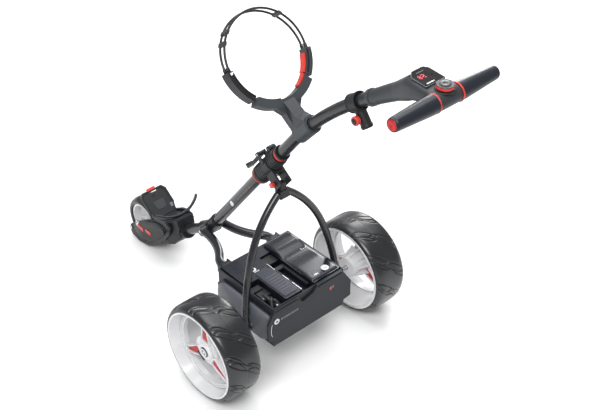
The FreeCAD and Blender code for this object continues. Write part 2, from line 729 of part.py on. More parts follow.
JUNCTION_YZ = (size("junction_y"), size("junction_z"))
casting = fused("CastingSolid", [
    bar_x("CastingEye", CASTING_RADIUS, -CASTING_HALF, CASTING_HALF, *JUNCTION_YZ),
    bar_along("MainSocket", CASTING_RADIUS, JUNCTION, MAIN_UP, 0, SOCKET_END),
    bar_along("FrontSocket", CASTING_RADIUS, JUNCTION, FRONT_DOWN, 0, SOCKET_END)])
casting_ways = fused("CastingWays", [
    bar_x("PinBore", PIN_RADIUS + 0.06, -CASTING_HALF - 1, CASTING_HALF + 1, *JUNCTION_YZ),
    bar_along("MainBore", TUBE + 0.2, JUNCTION, MAIN_UP, SOCKET_START, SOCKET_END + 1),
    bar_along("FrontBore", size("front_tube_radius") + 0.2, JUNCTION, FRONT_DOWN,
              SOCKET_START, SOCKET_END + 1)])
cut("junction_casting", casting, casting_ways)

HOUSING_HALF, COLLAR_HALF = 36.0, 25.0
HOUSING_SIDE = [(430, 96), (424, 140), (432, 164), (440, 163), (452, 149), (507, 129), (516.4, 117),
                (545, 138.6), (540, 125), (522, 92), (516, 68), (480, 62), (445, 78)]
HOUSING_PLAN = [(-COLLAR_HALF, 415), (COLLAR_HALF, 415), (HOUSING_HALF, 470), (HOUSING_HALF, 560),
                (-HOUSING_HALF, 560), (-HOUSING_HALF, 470)]


def side_frame(x):
    """Frame of a plate padded towards +X whose outline is (y from the axle, height)."""
    return frame(at(x, 0, 0), Y_AXIS, Z_AXIS)


housing_body = new_body("HousingSolid")
housing_sketch = sketch_on(housing_body, "XY_Plane", "Side")
draw(housing_sketch, HOUSING_SIDE, 1.5)
pad(housing_body, housing_sketch, str(2 * HOUSING_HALF))
housing_body.Placement = side_frame(-HOUSING_HALF)
plan_body = new_body("HousingPlan")
plan_sketch = sketch_on(plan_body, "XY_Plane", "Plan")
draw(plan_sketch, HOUSING_PLAN, 4.0)
pad(plan_body, plan_sketch, "140")
plan_body.Placement.Base = at(0, 0, 40)
housing_core = doc.addObject("Part::MultiCommon", "HousingCore")
housing_core.Shapes = [housing_body, plan_body]
COLLAR_RUN = (134.0, 160.0)
housing_solid = fused("HousingWhole", [
    housing_core, bar_along("Collar", COLLAR_HALF - 1, JUNCTION, FRONT_DOWN, *COLLAR_RUN)])
cut("front_housing", housing_solid,
    bar_along("TubeBore", size("front_tube_radius") + 0.2, JUNCTION, FRONT_DOWN, 130, 175.5))

COVER_SIDE = [(470, 150), (500, 140), (570, 97), (640, 48), (652, 30), (640, 10), (605, 3),
              (560, 12), (514, 43), (480, 74), (455, 108), (448, 135)]
FRONT_AXLE = (size("front_wheel_y"), size("front_wheel_radius"))
FORK_GAP, FORK_COVER = size("fork_gap"), size("fork_cover")


def cover_shape(x):
    points = [at(x, y, z) for y, z in COVER_SIDE]
    plate = Part.Face(Part.makePolygon(points + points[:1])).extrude(X_AXIS * FORK_COVER)
    return plate.cut(rod(PIN_RADIUS + 0.1, x - 1, x + FORK_COVER + 1, *FRONT_AXLE))


group("fork_covers", [cover_shape(-FORK_GAP - FORK_COVER), cover_shape(FORK_GAP)])
axle_bar = rod(PIN_RADIUS, -FORK_GAP - FORK_COVER - 6, FORK_GAP + FORK_COVER + 1, *FRONT_AXLE)
nut_start = FORK_GAP + FORK_COVER + 0.2
axle_nuts = [rod(9, -nut_start - 5, -nut_start, *FRONT_AXLE), rod(9, nut_start, nut_start + 5, *FRONT_AXLE)]
feature("front_axle", axle_bar.fuse(axle_nuts))

BASE_LOW, BASE_HIGH, BASE_HALF = 114.0, 205.0, 43.0
PLATE_RUN = -196.0
NOTCH_HALF, NOTCH_DEPTH = 14.6, 9.0
WAIST_HALF = HOUSING_HALF - 0.5
base_corners = [
    (-29, BASE_LOW), (29, BASE_LOW), (WAIST_HALF, BASE_LOW + 7), (WAIST_HALF, BASE_LOW + 20),
    (BASE_HALF, BASE_LOW + 32), (BASE_HALF, BASE_HIGH - 12),
    (33, BASE_HIGH), (NOTCH_HALF, BASE_HIGH), (NOTCH_HALF, BASE_HIGH - NOTCH_DEPTH),
    (-NOTCH_HALF, BASE_HIGH - NOTCH_DEPTH), (-NOTCH_HALF, BASE_HIGH), (-33, BASE_HIGH),
    (-BASE_HALF, BASE_HIGH - 12), (-BASE_HALF, BASE_LOW + 32), (-WAIST_HALF, BASE_LOW + 20),
    (-WAIST_HALF, BASE_LOW + 7)]
slab("bag_base_plate", base_corners, "6", frame(on_main(PLATE_RUN, 0), X_AXIS, MAIN_OFF), 3.0)
button_low = BASE_HIGH - NOTCH_DEPTH + 3.0
slab("base_release_button", [(-14, button_low), (14, button_low), (14, BASE_HIGH + 6),
                             (-14, BASE_HIGH + 6)],
     "5", frame(on_main(PLATE_RUN + 0.5, 0), X_AXIS, MAIN_OFF), 2.0)


def sector(sketch, inner, outer, start, finish, centre_y=0.0):
    """A piece of a flat ring between two angles in degrees."""
    def point(radius, degrees):
        angle = math.radians(degrees)
        return Vector(radius * math.cos(angle), centre_y + radius * math.sin(angle), 0)

    middle = (start + finish) / 2
    sketch.addGeometry(Part.Arc(point(outer, start), point(outer, middle), point(outer, finish)))
    sketch.addGeometry(Part.LineSegment(point(outer, finish), point(inner, finish)))
    sketch.addGeometry(Part.Arc(point(inner, finish), point(inner, middle), point(inner, start)))
    sketch.addGeometry(Part.LineSegment(point(inner, start), point(outer, start)))


def ring_piece(label, inner, outer, start, finish, depth, place, centre_y):
    """A band of a ring lying in its frame's XY plane, centred on that plane."""
    body = new_body(label)
    sketch = sketch_on(body, "XY_Plane", "Band", -depth / 2)
    sector(sketch, inner, outer, start, finish, centre_y)
    pad(body, sketch, str(depth))
    body.Placement = place
    return keep(label, body)


CRADLE_CENTRE, CRADLE_RADIUS, CRADLE_HALF_ANGLE = 192.0, 104.0, 47.0
ring_piece("bag_cradle", CRADLE_RADIUS - 3.5, CRADLE_RADIUS + 3.5, 270 - CRADLE_HALF_ANGLE,
           270 + CRADLE_HALF_ANGLE, 22, frame(on_main(-120, 0), X_AXIS, MAIN_OFF), CRADLE_CENTRE)

turned("front_rim", [(PIN_RADIUS + size("fit"), -24), (12, -24), (12, -6), (40, -6), (47, -26),
                     (52, -26), (52, 26), (47, 26), (40, 6), (12, 6), (12, 24),
                     (PIN_RADIUS + size("fit"), 24)], across(0, *FRONT_AXLE))
TYRE_R, TYRE_HALF = size("front_wheel_radius"), size("front_tyre_half")
turned("front_tyre", [(52.3, -26), (54, -29), (60, -TYRE_HALF), (67, -27), (TYRE_R, -15),
                      (TYRE_R, 15), (67, 27), (60, TYRE_HALF), (54, 29), (52.3, 26)],
       across(0, *FRONT_AXLE))

# ---------------------------------------------------------------- handle hinge
HINGE = size("hinge_run")
HINGE_OFF = size("hinge_offset")
BLOCK_RADIUS, KNUCKLE_RADIUS, EAR = 24.0, 21.5, 8.0
HINGE_YZ_POINT = on_main(HINGE, HINGE_OFF)
HINGE_YZ = (HINGE_YZ_POINT.y - AXLE_Y, HINGE_YZ_POINT.z)


def run_box(name, x_from, x_to, run_from, run_to, off_from, off_to):
    """A box in the main tube's frame: across, along the tube, and off towards the bag."""
    box = doc.addObject("Part::Box", name)
    box.Length, box.Width, box.Height = x_to - x_from, off_to - off_from, run_to - run_from
    box.Placement = frame(on_main(run_from, off_from, x_from), X_AXIS, MAIN_OFF)
    return box


def hinge_ear(name, x_from, x_to, toward):
    """An ear round the hinge pin, with a web to the body below (-1) or above (+1)."""
    web_from, web_to = sorted((HINGE + toward * 0.5, HINGE + toward * (EAR + 3)))
    web = run_box(name + "Web", x_from, x_to, web_from, web_to, 10, HINGE_OFF)
    return [bar_x(name, EAR, x_from, x_to, *HINGE_YZ), web]


LEVER_RUN, LEVER_OFF = 420.0, 34.5
lever_point = on_main(LEVER_RUN, LEVER_OFF)
LEVER_YZ = (lever_point.y - AXLE_Y, lever_point.z)
block_solid = fused("BlockSolid", [
    bar_along("BlockBarrel", BLOCK_RADIUS, JUNCTION, MAIN_UP, 350, HINGE - 0.5)]
    + hinge_ear("EarA", 5, 11.6, -1) + hinge_ear("EarB", 18.4, 25, -1)
    + [run_box("LeverEarA", -24, -20.4, LEVER_RUN - 6, LEVER_RUN + 6, 8, LEVER_OFF + 5),
       run_box("LeverEarB", -1.6, 2, LEVER_RUN - 6, LEVER_RUN + 6, 8, LEVER_OFF + 5)])
block_ways = fused("BlockWays", [
    bar_along("BlockBore", TUBE + 0.2, JUNCTION, MAIN_UP, 349, 371),
    bar_x("HingeBore", 4.1, 4, 26, *HINGE_YZ),
    bar_x("LeverBore", 2.6, -25, 3, *LEVER_YZ)])
cut("hinge_block", block_solid, block_ways)

LUG_POINT = on_main(404, -45)
LUG_YZ = (LUG_POINT.y - AXLE_Y, LUG_POINT.z)
lug_solid = fused("LugSolid", [
    run_box("LugLeft", -17.5, -12.5, 396, 428, -60, -12),
    run_box("LugRight", 12.5, 17.5, 396, 428, -60, -12),
    run_box("LugWeb", -17.5, 17.5, 396, 428, -30, -12)])
lug_ways = fused("LugWays", [
    bar_along("LugSeat", BLOCK_RADIUS + 0.2, JUNCTION, MAIN_UP, 390, 432),
    bar_x("ButtonBore", 4.5, -19, -11, *LUG_YZ)])
cut("strut_lug", lug_solid, lug_ways)
feature("strut_release", rod(4.0, -21, -14.5, *LUG_YZ).fuse(rod(7.0, -27, -21, *LUG_YZ)))

HINGE_PIN_RADIUS = 4.0
pivot_pins = [rod(PIN_RADIUS, -STAY_END_X - 10, STAY_END_X + 10, *JUNCTION_YZ),
              rod(HINGE_PIN_RADIUS, 5, 25, *HINGE_YZ),
              rod(2.5, -24, 2, *LEVER_YZ)]
group("pivot_pins", pivot_pins)

lever = fused("LeverSolid", [
    bar_x("LeverBarrel", 5.5, -19.8, -2.2, *LEVER_YZ),
    run_box("LeverArm", -19.8, -2.2, 352, LEVER_RUN, LEVER_OFF - 5.5, LEVER_OFF),
    run_box("LeverTip", -19.8, -2.2, 346, 353, LEVER_OFF - 5.5, LEVER_OFF + 7)])
cut("fold_lever", lever, bar_x("LeverPinBore", 2.5 + size("fit"), -20, -2, *LEVER_YZ))

# ---------------------------------------------------------------- upper tube and handle
UPPER_START = on_main(445, 0)
UPPER_UP = heading(180 - size("upper_tilt"))
UPPER_LEAD, UPPER_TAIL = 100.0, 62.0
upper_body = new_body("upper_tube")
bent_tube(upper_body, [UPPER_LEAD, (size("upper_bend_radius"), size("upper_bend")), UPPER_TAIL],
          "Dims.tube_radius", "Dims.tube_wall")
back_side = heading(270 - size("upper_tilt"))
upper_body.Placement = frame(UPPER_START, back_side, UPPER_UP.cross(back_side))
keep("upper_tube", upper_body)

UPPER_RADIUS = size("upper_bend_radius")
UPPER_ARC = UPPER_RADIUS * math.radians(size("upper_bend"))


def on_upper(run):
    """A point of the upper tube's centre line, run mm from its foot, and the way up there."""
    turn = math.degrees(min(max(run - UPPER_LEAD, 0.0), UPPER_ARC) / UPPER_RADIUS)
    first = heading(90 - size("upper_tilt"))
    here = heading(90 - size("upper_tilt") + turn)
    along = heading(180 - size("upper_tilt") + turn)
    past = max(run - UPPER_LEAD - UPPER_ARC, 0.0)
    lead = UPPER_UP * min(run, UPPER_LEAD)
    return UPPER_START + lead + (here - first) * UPPER_RADIUS + along * past, along


TAIL_START, TAIL_UP = on_upper(UPPER_LEAD + UPPER_ARC)
knuckle = fused("KnuckleSolid", [
    bar_along("KnuckleBarrel", KNUCKLE_RADIUS, JUNCTION, MAIN_UP, HINGE + 0.5, 468)]
    + hinge_ear("EarC", 12, 18, 1))
knuckle_ways = fused("KnuckleWays", [
    bar_along("KnuckleBore", TUBE + 0.3, UPPER_START, UPPER_UP, -0.3, 60),
    bar_x("KnucklePinBore", HINGE_PIN_RADIUS + size("fit"), 11, 19, *HINGE_YZ)])
cut("hinge_knuckle", knuckle, knuckle_ways)

BAG_RUN = 145.0
BAG_ORIGIN = on_upper(BAG_RUN)[0]
BAG_TILT = 51.7
BAG_UP, BAG_BACK = heading(BAG_TILT), heading(90 + BAG_TILT)
BAG_PLACE = frame(BAG_ORIGIN, X_AXIS, BAG_UP)
RING = size("ring_radius")
RING_Y = size("ring_centre")
bracket = new_body("BracketSolid")
arms = sketch_on(bracket, "XY_Plane", "Arms", -13)
sector(arms, RING - 6, RING + 14, 227, 313, RING_Y)
pad(bracket, arms, "26")
stem = sketch_on(bracket, "XY_Plane", "Stem", -10)
draw(stem, [(-15, 22), (15, 22), (22, 56), (44, 84), (-44, 84), (-22, 56)], 3.0)
pad(bracket, stem, "22")
bracket.Placement = BAG_PLACE
root = new_body("BracketRoot")
root_side = sketch_on(root, "XY_Plane", "Side")
draw(root_side, [(84, -12), (34, -10), (6, -5), (6, 62), (26, 54), (44, 30), (84, 12.5)], 4.0)
ROOT_HALF = 16.0
pad(root, root_side, str(2 * ROOT_HALF))
root.Placement = frame(BAG_ORIGIN - X_AXIS * ROOT_HALF, BAG_UP, BAG_BACK)
sleeve_middle, sleeve_up = on_upper(BAG_RUN + 30)
sleeve = bar_along("Sleeve", TUBE + 7, sleeve_middle, sleeve_up, -32, 32)
bracket_solid = fused("BracketWhole", [bracket, root, sleeve])
cut("upper_bag_bracket", bracket_solid,
    bar_along("SleeveBore", TUBE + 0.8, sleeve_middle, sleeve_up, -60, 60))

ring_piece("right_strap_buckle", RING - 6, RING + 9, 316, 350, 28, BAG_PLACE, RING_Y)
ring_piece("left_strap_buckle", RING - 6, RING + 9, 180, 224, 28, BAG_PLACE, RING_Y)
LATCH_START, LATCH_RADIUS, LATCH_HALF = 319.0, RING - 9.7, 8.0
latch_body = new_body("LatchBand")
latch_band = sketch_on(latch_body, "XY_Plane", "Band", -LATCH_HALF)
sector(latch_band, RING - 12, RING - 7, LATCH_START, 344, RING_Y)
pad(latch_body, latch_band, str(2 * LATCH_HALF))
latch_body.Placement = BAG_PLACE
latch_angle = math.radians(LATCH_START)
latch_foot = Vector(LATCH_RADIUS * math.cos(latch_angle),
                    RING_Y + LATCH_RADIUS * math.sin(latch_angle), -LATCH_HALF)
latch_barrel = cylinder("LatchBarrel", 3.4, 2 * LATCH_HALF,
                        BAG_PLACE.multiply(FreeCAD.Placement(latch_foot, FreeCAD.Rotation())))
keep("strap_latch", fused("strap_latch", [latch_body, latch_barrel]))

CORD_START, CORD_SWEEP = -9.6, 189.2
cords = []
for offset in (-7.5, 7.5):
    cord = Part.makeTorus(RING, size("cord_radius"), Vector(0, RING_Y, offset), Z_AXIS,
                          -180, 180, CORD_SWEEP)
    cord.rotate(Vector(0, RING_Y, offset), Z_AXIS, CORD_START)
    cords.append(cord)
group("bag_strap", cords, BAG_PLACE)

CLAMP_RUN = 388.0
clamp_centre, clamp_up = on_upper(CLAMP_RUN)
clamp_down = Vector(0, -clamp_up.z, clamp_up.y)
BOSS_START, BOSS_END = 16.0, 60.0
clamp_solid = fused("ClampSolid", [
    bar_along("ClampSleeve", TUBE + 6, clamp_centre, clamp_up, -12, 12),
    bar_along("ClampBoss", 13.0, clamp_centre, clamp_down, BOSS_START, BOSS_END)])
knob_point = clamp_centre + clamp_down * 35
KNOB_YZ = (knob_point.y - AXLE_Y, knob_point.z)
clamp_ways = fused("ClampWays", [
    bar_along("ClampBore", TUBE + 0.3, clamp_centre, clamp_up, -13, 13),
    bar_along("AccessorySocket", 8.0, clamp_centre, clamp_down, BOSS_END - 20, BOSS_END + 1),
    bar_x("KnobBore", 3.0, -22, -6, *KNOB_YZ)])
cut("accessory_clamp", clamp_solid, clamp_ways)
feature("accessory_knob", rod(10.0, -27, -16.5, *KNOB_YZ).fuse(rod(2.95, -17, -7, *KNOB_YZ)))

HANDLE = (size("handle_y"), size("handle_z"))
CONSOLE = size("console_top")
NECK_SIDE = [(-297, 866), (-271, 903), (-323, 927), (-350, 942), (-367, 963), (-374, CONSOLE - 2),
             (-464, CONSOLE - 2), (-481, 968), (-481, 952), (-468, 942), (-412, 938), (-365, 911),
             (-323, 884)]
NECK_HALF = 20.0
neck_body = new_body("NeckSolid")
neck_sketch = sketch_on(neck_body, "XY_Plane", "Side")
draw(neck_sketch, NECK_SIDE, 3.0)
pad(neck_body, neck_sketch, str(2 * NECK_HALF))
neck_body.Placement = side_frame(-NECK_HALF)
HUB_HALF, BAR_RADIUS = 32.0, 9.8
HALF_BAR = size("handle_half")
console_body = new_body("ConsoleSolid")
console_sketch = sketch_on(console_body, "XY_Plane", "Plan")
draw(console_sketch, [(-31, -471), (31, -471), (33, -400), (27, -376), (-27, -376), (-33, -400)], 6.0)
pad(console_body, console_sketch, "18")
console_body.Placement.Base = at(0, 0, CONSOLE - 18)
neck_solid = fused("NeckWhole", [
    neck_body, console_body, bar_x("HandleHub", 19.4, -HUB_HALF, HUB_HALF, *HANDLE),
    bar_x("HandleBar", BAR_RADIUS, -HALF_BAR + 2, HALF_BAR - 2, *HANDLE)])
DIAL_Y = -464.0
STEM_RADIUS = 6.0
stem_bore = cylinder("StemBore", STEM_RADIUS + 0.3, 25, FreeCAD.Placement(
    at(0, DIAL_Y, CONSOLE - 19), FreeCAD.Rotation()))
neck_ways = fused("NeckWays", [
    bar_along("NeckBore", TUBE + 0.2, TAIL_START, TAIL_UP, UPPER_TAIL - 40, UPPER_TAIL + 0.5),
    stem_bore])
cut("handle_neck", neck_solid, neck_ways)


def grip(label, sign):
    place = frame(at(0, *HANDLE), Y_AXIS * sign, Z_AXIS)
    turned(label, [(BAR_RADIUS + 0.1, HUB_HALF + 0.3), (21.0, HUB_HALF + 0.3), (20.5, 50),
                   (15.5, HALF_BAR - 4), (13, HALF_BAR), (BAR_RADIUS + 0.1, HALF_BAR)], place)


mirrored_pair("grip", grip)
keep("console_screen", block("console_screen", (-20, -434, CONSOLE + 0.05), (24, -386, CONSOLE + 2)))


def upright(name, radius, y, z_from, z_to):
    return cylinder(name, radius, z_to - z_from, FreeCAD.Placement(at(0, y, z_from),
                                                                   FreeCAD.Rotation()))


keep("dial_stem", upright("dial_stem", STEM_RADIUS, DIAL_Y, CONSOLE - 15, CONSOLE + 9))
cut("speed_dial", upright("DialSolid", "Dims.dial_radius", DIAL_Y, CONSOLE + 2.6, CONSOLE + 11),
    upright("DialBore", STEM_RADIUS + size("fit"), DIAL_Y, CONSOLE + 2, CONSOLE + 9.2))

# ---------------------------------------------------------------- check and write
doc.recompute()
for item in doc.Objects:
    if "Invalid" in item.State or "Error" in item.State:
        raise RuntimeError("%s did not build: %s" % (item.Label, item.State))
for label, piece in parts.items():
    if piece.Shape.isNull() or not piece.Shape.isValid():
        raise RuntimeError("%s has no valid shape" % label)
    if not piece.Shape.Solids:
        raise RuntimeError("%s has no solid" % label)
    piece.Shape.exportStep("parts/%s.step" % label)
print("%d parts written" % len(parts))
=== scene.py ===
import math
import bpy
import bmesh
from mathutils import Matrix, Vector


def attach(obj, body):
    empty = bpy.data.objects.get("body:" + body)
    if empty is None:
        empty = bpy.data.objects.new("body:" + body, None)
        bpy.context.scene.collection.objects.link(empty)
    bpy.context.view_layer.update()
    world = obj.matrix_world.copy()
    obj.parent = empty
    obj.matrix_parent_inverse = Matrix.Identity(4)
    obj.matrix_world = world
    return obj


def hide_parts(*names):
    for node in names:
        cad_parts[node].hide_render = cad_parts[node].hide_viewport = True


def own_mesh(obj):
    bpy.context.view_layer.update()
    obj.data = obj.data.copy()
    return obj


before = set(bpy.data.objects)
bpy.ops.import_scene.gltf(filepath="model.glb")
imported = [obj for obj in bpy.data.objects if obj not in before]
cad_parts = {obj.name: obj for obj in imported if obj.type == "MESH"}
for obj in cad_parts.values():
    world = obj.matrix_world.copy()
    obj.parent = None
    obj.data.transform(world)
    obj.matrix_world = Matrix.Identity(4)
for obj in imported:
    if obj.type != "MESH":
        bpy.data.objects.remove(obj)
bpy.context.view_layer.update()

MM = 0.001
AXLE_Y = -92.0
X_AXIS = Vector((1, 0, 0))
Y_AXIS = Vector((0, 1, 0))
Z_AXIS = Vector((0, 0, 1))


# ------------------------------------------------------------------ places
def P(x, y, z):
    """A point in metres from millimetres across, forward of the rear axle and above the ground."""
    return Vector((x, y + AXLE_Y, z)) * MM


def heading(degrees):
    """A direction in the centre plane: 0 is forward, 90 is up."""
    angle = math.radians(degrees)
    return Vector((0, math.cos(angle), math.sin(angle)))


class Frame:
    """A local frame: origin in metres, local sizes in millimetres."""

    def __init__(self, origin, x_dir, y_dir):
        self.o = Vector(origin)
        self.x = Vector(x_dir).normalized()
        self.y = Vector(y_dir).normalized()
        self.z = self.x.cross(self.y)

    def at(self, x, y, z=0.0):
        return self.o + (self.x * x + self.y * y + self.z * z) * MM

    def moved(self, x, y, z=0.0):
        return Frame(self.at(x, y, z), self.x, self.y)


MAIN_HEADING = 127.2
MAIN_UP, MAIN_OFF = heading(MAIN_HEADING), heading(MAIN_HEADING - 90)
JUNCTION = P(0, 308, 205)


def on_main(along, off, x=0.0):
    """A point by its run up the main tube from the junction, and its way off the tube."""
    return JUNCTION + (MAIN_UP * along + MAIN_OFF * off + X_AXIS * x) * MM


UPPER_START = on_main(445, 0)
UPPER_LEAD, BEND_RADIUS, BEND_TURN = 100.0, 1000.0, 17.5


def on_upper(run):
    """A point of the upper tube's centre line, by its run from the foot in mm, and the way up."""
    bent = min(max(run - UPPER_LEAD, 0.0), BEND_RADIUS * math.radians(BEND_TURN))
    turn = math.degrees(bent / BEND_RADIUS)
    along = heading(MAIN_HEADING + turn)
    step = MAIN_UP * min(run, UPPER_LEAD)
    step += (heading(MAIN_HEADING - 90 + turn) - MAIN_OFF) * BEND_RADIUS
    return UPPER_START + (step + along * max(run - UPPER_LEAD - bent, 0.0)) * MM, along


TAIL_START, TAIL_UP = on_upper(UPPER_LEAD + BEND_RADIUS * math.radians(BEND_TURN))
BAG_RUN, CLAMP_RUN, BAG_HEADING = 145.0, 388.0, 51.7
BAG = Frame(on_upper(BAG_RUN)[0], X_AXIS, heading(BAG_HEADING))
RING_Y, RING = 193.0, 110.0
WHEEL_X, WHEEL_Z, TYRE_RADIUS = 248, 133, 133
HANDLE_Y, HANDLE_Z, HANDLE_HALF = -466, 960, 146
DIAL_Y = -464
PANEL_TOP = 982.0


# ------------------------------------------------------------------ materials
def node(tree, kind, **values):
    """A new shader node with those properties."""
    item = tree.nodes.new(kind)
    for key, value in values.items():
        setattr(item, key, value)
    return item


def surface(name, colour, rough, metallic=0.0, coat=0.0, grain=900.0, bump=0.12, mottle=0.12,
            edge=0.25, specular=0.36, streak=0.0):
    """A moulded, painted or metal finish: mottled colour, grain in the bump, and a lighter colour on
    sharp edges.
    """
    material = bpy.data.materials.new(name)
    material.use_nodes = True
    tree = material.node_tree
    shader = tree.nodes["Principled BSDF"]
    shader.inputs["Metallic"].default_value = metallic
    shader.inputs["Coat Weight"].default_value = coat
    shader.inputs["Coat Roughness"].default_value = 0.12
    shader.inputs["Specular IOR Level"].default_value = specular
    link = tree.links.new
    coords = node(tree, "ShaderNodeTexCoord")
    spot = node(tree, "ShaderNodeMapping")
    if streak:
        spot.inputs["Scale"].default_value = (streak, 1, 1)
    link(coords.outputs["Object"], spot.inputs["Vector"])
    broad = node(tree, "ShaderNodeTexNoise")
    broad.inputs["Scale"].default_value = 14.0
    broad.inputs["Detail"].default_value = 5.0
    link(coords.outputs["Object"], broad.inputs["Vector"])
    fine = node(tree, "ShaderNodeTexNoise")
    fine.inputs["Scale"].default_value = grain
    fine.inputs["Detail"].default_value = 2.0
    link(spot.outputs["Vector"], fine.inputs["Vector"])
    tint = node(tree, "ShaderNodeMix", data_type="RGBA")
    dark = [c * (1 - mottle) for c in colour]
    light = [min(1.0, c * (1 + mottle) + 0.002) for c in colour]
    tint.inputs[6].default_value = (*dark, 1)
    tint.inputs[7].default_value = (*light, 1)
    link(broad.outputs["Fac"], tint.inputs[0])
    # Sharp convex edges, found by pointiness, are mixed towards a lighter colour.
    geometry = node(tree, "ShaderNodeNewGeometry")
    ramp = node(tree, "ShaderNodeMapRange")
    ramp.inputs["From Min"].default_value = 0.53
    ramp.inputs["From Max"].default_value = 0.62
    ramp.inputs["To Max"].default_value = edge
    link(geometry.outputs["Pointiness"], ramp.inputs["Value"])
    edge_tint = node(tree, "ShaderNodeMix", data_type="RGBA")
    edge_colour = [min(1.0, c * 1.8 + 0.02) for c in colour]
    edge_tint.inputs[7].default_value = (*edge_colour, 1)
    link(ramp.outputs["Result"], edge_tint.inputs[0])
    link(tint.outputs[2], edge_tint.inputs[6])
    link(edge_tint.outputs[2], shader.inputs["Base Color"])
    gloss = node(tree, "ShaderNodeMapRange")
    gloss.inputs["To Min"].default_value = max(0.03, rough - 0.06)
    gloss.inputs["To Max"].default_value = min(1.0, rough + 0.08)
    link(broad.outputs["Fac"], gloss.inputs["Value"])
    link(gloss.outputs["Result"], shader.inputs["Roughness"])
    relief = node(tree, "ShaderNodeBump")
    relief.inputs["Strength"].default_value = bump
    relief.inputs["Distance"].default_value = 0.0004
    link(fine.outputs["Fac"], relief.inputs["Height"])
    link(relief.outputs["Normal"], shader.inputs["Normal"])
    return material


GRAPHITE = surface("graphite_paint", (0.013, 0.014, 0.017), 0.27, metallic=0.2, grain=1600, bump=0.06,
                   coat=0.35)
CASTING = surface("cast_black", (0.0075, 0.008, 0.0095), 0.38, grain=1100, bump=0.20, specular=0.28)
CONSOLE = surface("console_grey", (0.026, 0.030, 0.034), 0.38, grain=1500, bump=0.12)
GRIP = surface("grip_rubber", (0.010, 0.013, 0.019), 0.34, grain=1900, bump=0.16, edge=0.1)
TRAY = surface("tray_plastic", (0.0065, 0.0075, 0.012), 0.40, grain=1300, bump=0.14, specular=0.24)
SATIN = surface("battery_satin", (0.006, 0.007, 0.013), 0.25, grain=1700, bump=0.05, coat=0.3)
PANEL = surface("panel_blue_grey", (0.022, 0.026, 0.040), 0.30, grain=1700, bump=0.05, coat=0.2)
FENDER = surface("fender_grey", (0.085, 0.092, 0.105), 0.40, grain=1500, bump=0.08)
TYRE = surface("tyre_rubber", (0.0085, 0.009, 0.011), 0.29, grain=700, bump=0.06, edge=0.4,
               specular=0.6)
# Near-black finish laid in slots and openings: painted shade.
RECESS_SHADE = surface("painted_recess_shade", (0.003, 0.003, 0.004), 0.65, grain=900, bump=0.2, edge=0.0)
WHITE = surface("gloss_white", (0.64, 0.64, 0.65), 0.24, grain=500, bump=0.03, mottle=0.01,
                edge=0.0, coat=0.3)
RED = surface("gloss_red", (0.50, 0.028, 0.020), 0.34, grain=900, bump=0.05, mottle=0.06, edge=0.15,
              coat=0.25)
DEEP_RED = surface("recess_red", (0.40, 0.006, 0.008), 0.38, grain=900, bump=0.06, mottle=0.1, edge=0.1)
STEEL = surface("brushed_steel", (0.58, 0.58, 0.60), 0.26, metallic=1.0, grain=260, bump=0.12,
                streak=0.05, edge=0.0)
DARK_STEEL = surface("dark_steel", (0.06, 0.06, 0.065), 0.36, metallic=0.8, grain=500, bump=0.1)
SCREEN = surface("screen_glass", (0.002, 0.002, 0.003), 0.12, grain=300, bump=0.0, edge=0.0,
                 specular=0.12)
MARK = surface("pale_print", (0.70, 0.71, 0.73), 0.45, grain=900, bump=0.03, mottle=0.04, edge=0.0)
DIM_MARK = surface("grey_print", (0.13, 0.14, 0.17), 0.5, grain=900, bump=0.03, edge=0.0)
SEGMENT = surface("lit_segment", (0.62, 0.012, 0.03), 0.35, grain=600, bump=0.0, edge=0.0)
WRAP = surface("cell_wrap", (0.03, 0.09, 0.22), 0.4, grain=400, bump=0.1)
CORD = surface("strap_cord", (0.011, 0.012, 0.014), 0.45, grain=2400, bump=0.3, streak=0.3)


# ------------------------------------------------------------------ mesh helpers
def add_object(name, mesh, material, body, smooth=True):
    """A new piece that rides on a body and has a material and a slot."""
    piece = bpy.data.objects.new(name, mesh)
    bpy.context.scene.collection.objects.link(piece)
    piece.data.materials.append(material)
    if smooth:
        for face in mesh.polygons:
            face.use_smooth = True
    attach(piece, body)
    return piece


def bevel(piece, width, segments=3, angle=35):
    """Soft edges of that width in mm, as modifiers."""
    item = piece.modifiers.new("Edges", "BEVEL")
    item.width = width * MM
    item.segments = segments
    item.limit_method = "ANGLE"
    item.angle_limit = math.radians(angle)
    item.harden_normals = False
    item.use_clamp_overlap = True
    tidy = piece.modifiers.new("Normals", "WEIGHTED_NORMAL")
    tidy.keep_sharp = False
    tidy.weight = 60
    return piece


def skin(name, rings, material, body, closed=False):
    """A skin over rings of points with the same count; closed joins the last ring to the first."""
    mesh = bpy.data.meshes.new(name)
    work = bmesh.new()
    rows = [[work.verts.new(point) for point in ring] for ring in rings]
    count = len(rows[0])
    total = len(rows) if closed else len(rows) - 1
    for index in range(total):
        one, two = rows[index], rows[(index + 1) % len(rows)]
        for step in range(count):
            following = (step + 1) % count
            work.faces.new((one[step], one[following], two[following], two[step]))
    if not closed:
        work.faces.new(list(reversed(rows[0])))
        work.faces.new(rows[-1])
    bmesh.ops.recalc_face_normals(work, faces=work.faces)
    work.to_mesh(mesh)
    work.free()
    return add_object(name, mesh, material, body)


def turned(name, profile, place, material, body, steps=72):
    """A lathe piece: (radius, height) corners in mm about the frame's z axis; the outline is closed."""
    rings = []
    for index in range(steps):
        angle = math.radians(360.0 * index / steps)
        rings.append([place.at(r * math.cos(angle), r * math.sin(angle), z) for r, z in profile])
    return skin(name, rings, material, body, closed=True)


def path_frames(points):
    """Tangents and a turning-free side direction along a path."""
    tangents = []
    for index in range(len(points)):
        one = points[max(index - 1, 0)]
        two = points[min(index + 1, len(points) - 1)]
        tangents.append((two - one).normalized())
    side = tangents[0].cross(X_AXIS)
    if side.length < 0.2:
        side = tangents[0].cross(Z_AXIS)
    side.normalize()
    frames = []
    for tangent in tangents:
        side = (side - tangent * side.dot(tangent)).normalized()
        frames.append((tangent, side, tangent.cross(side)))
    return frames


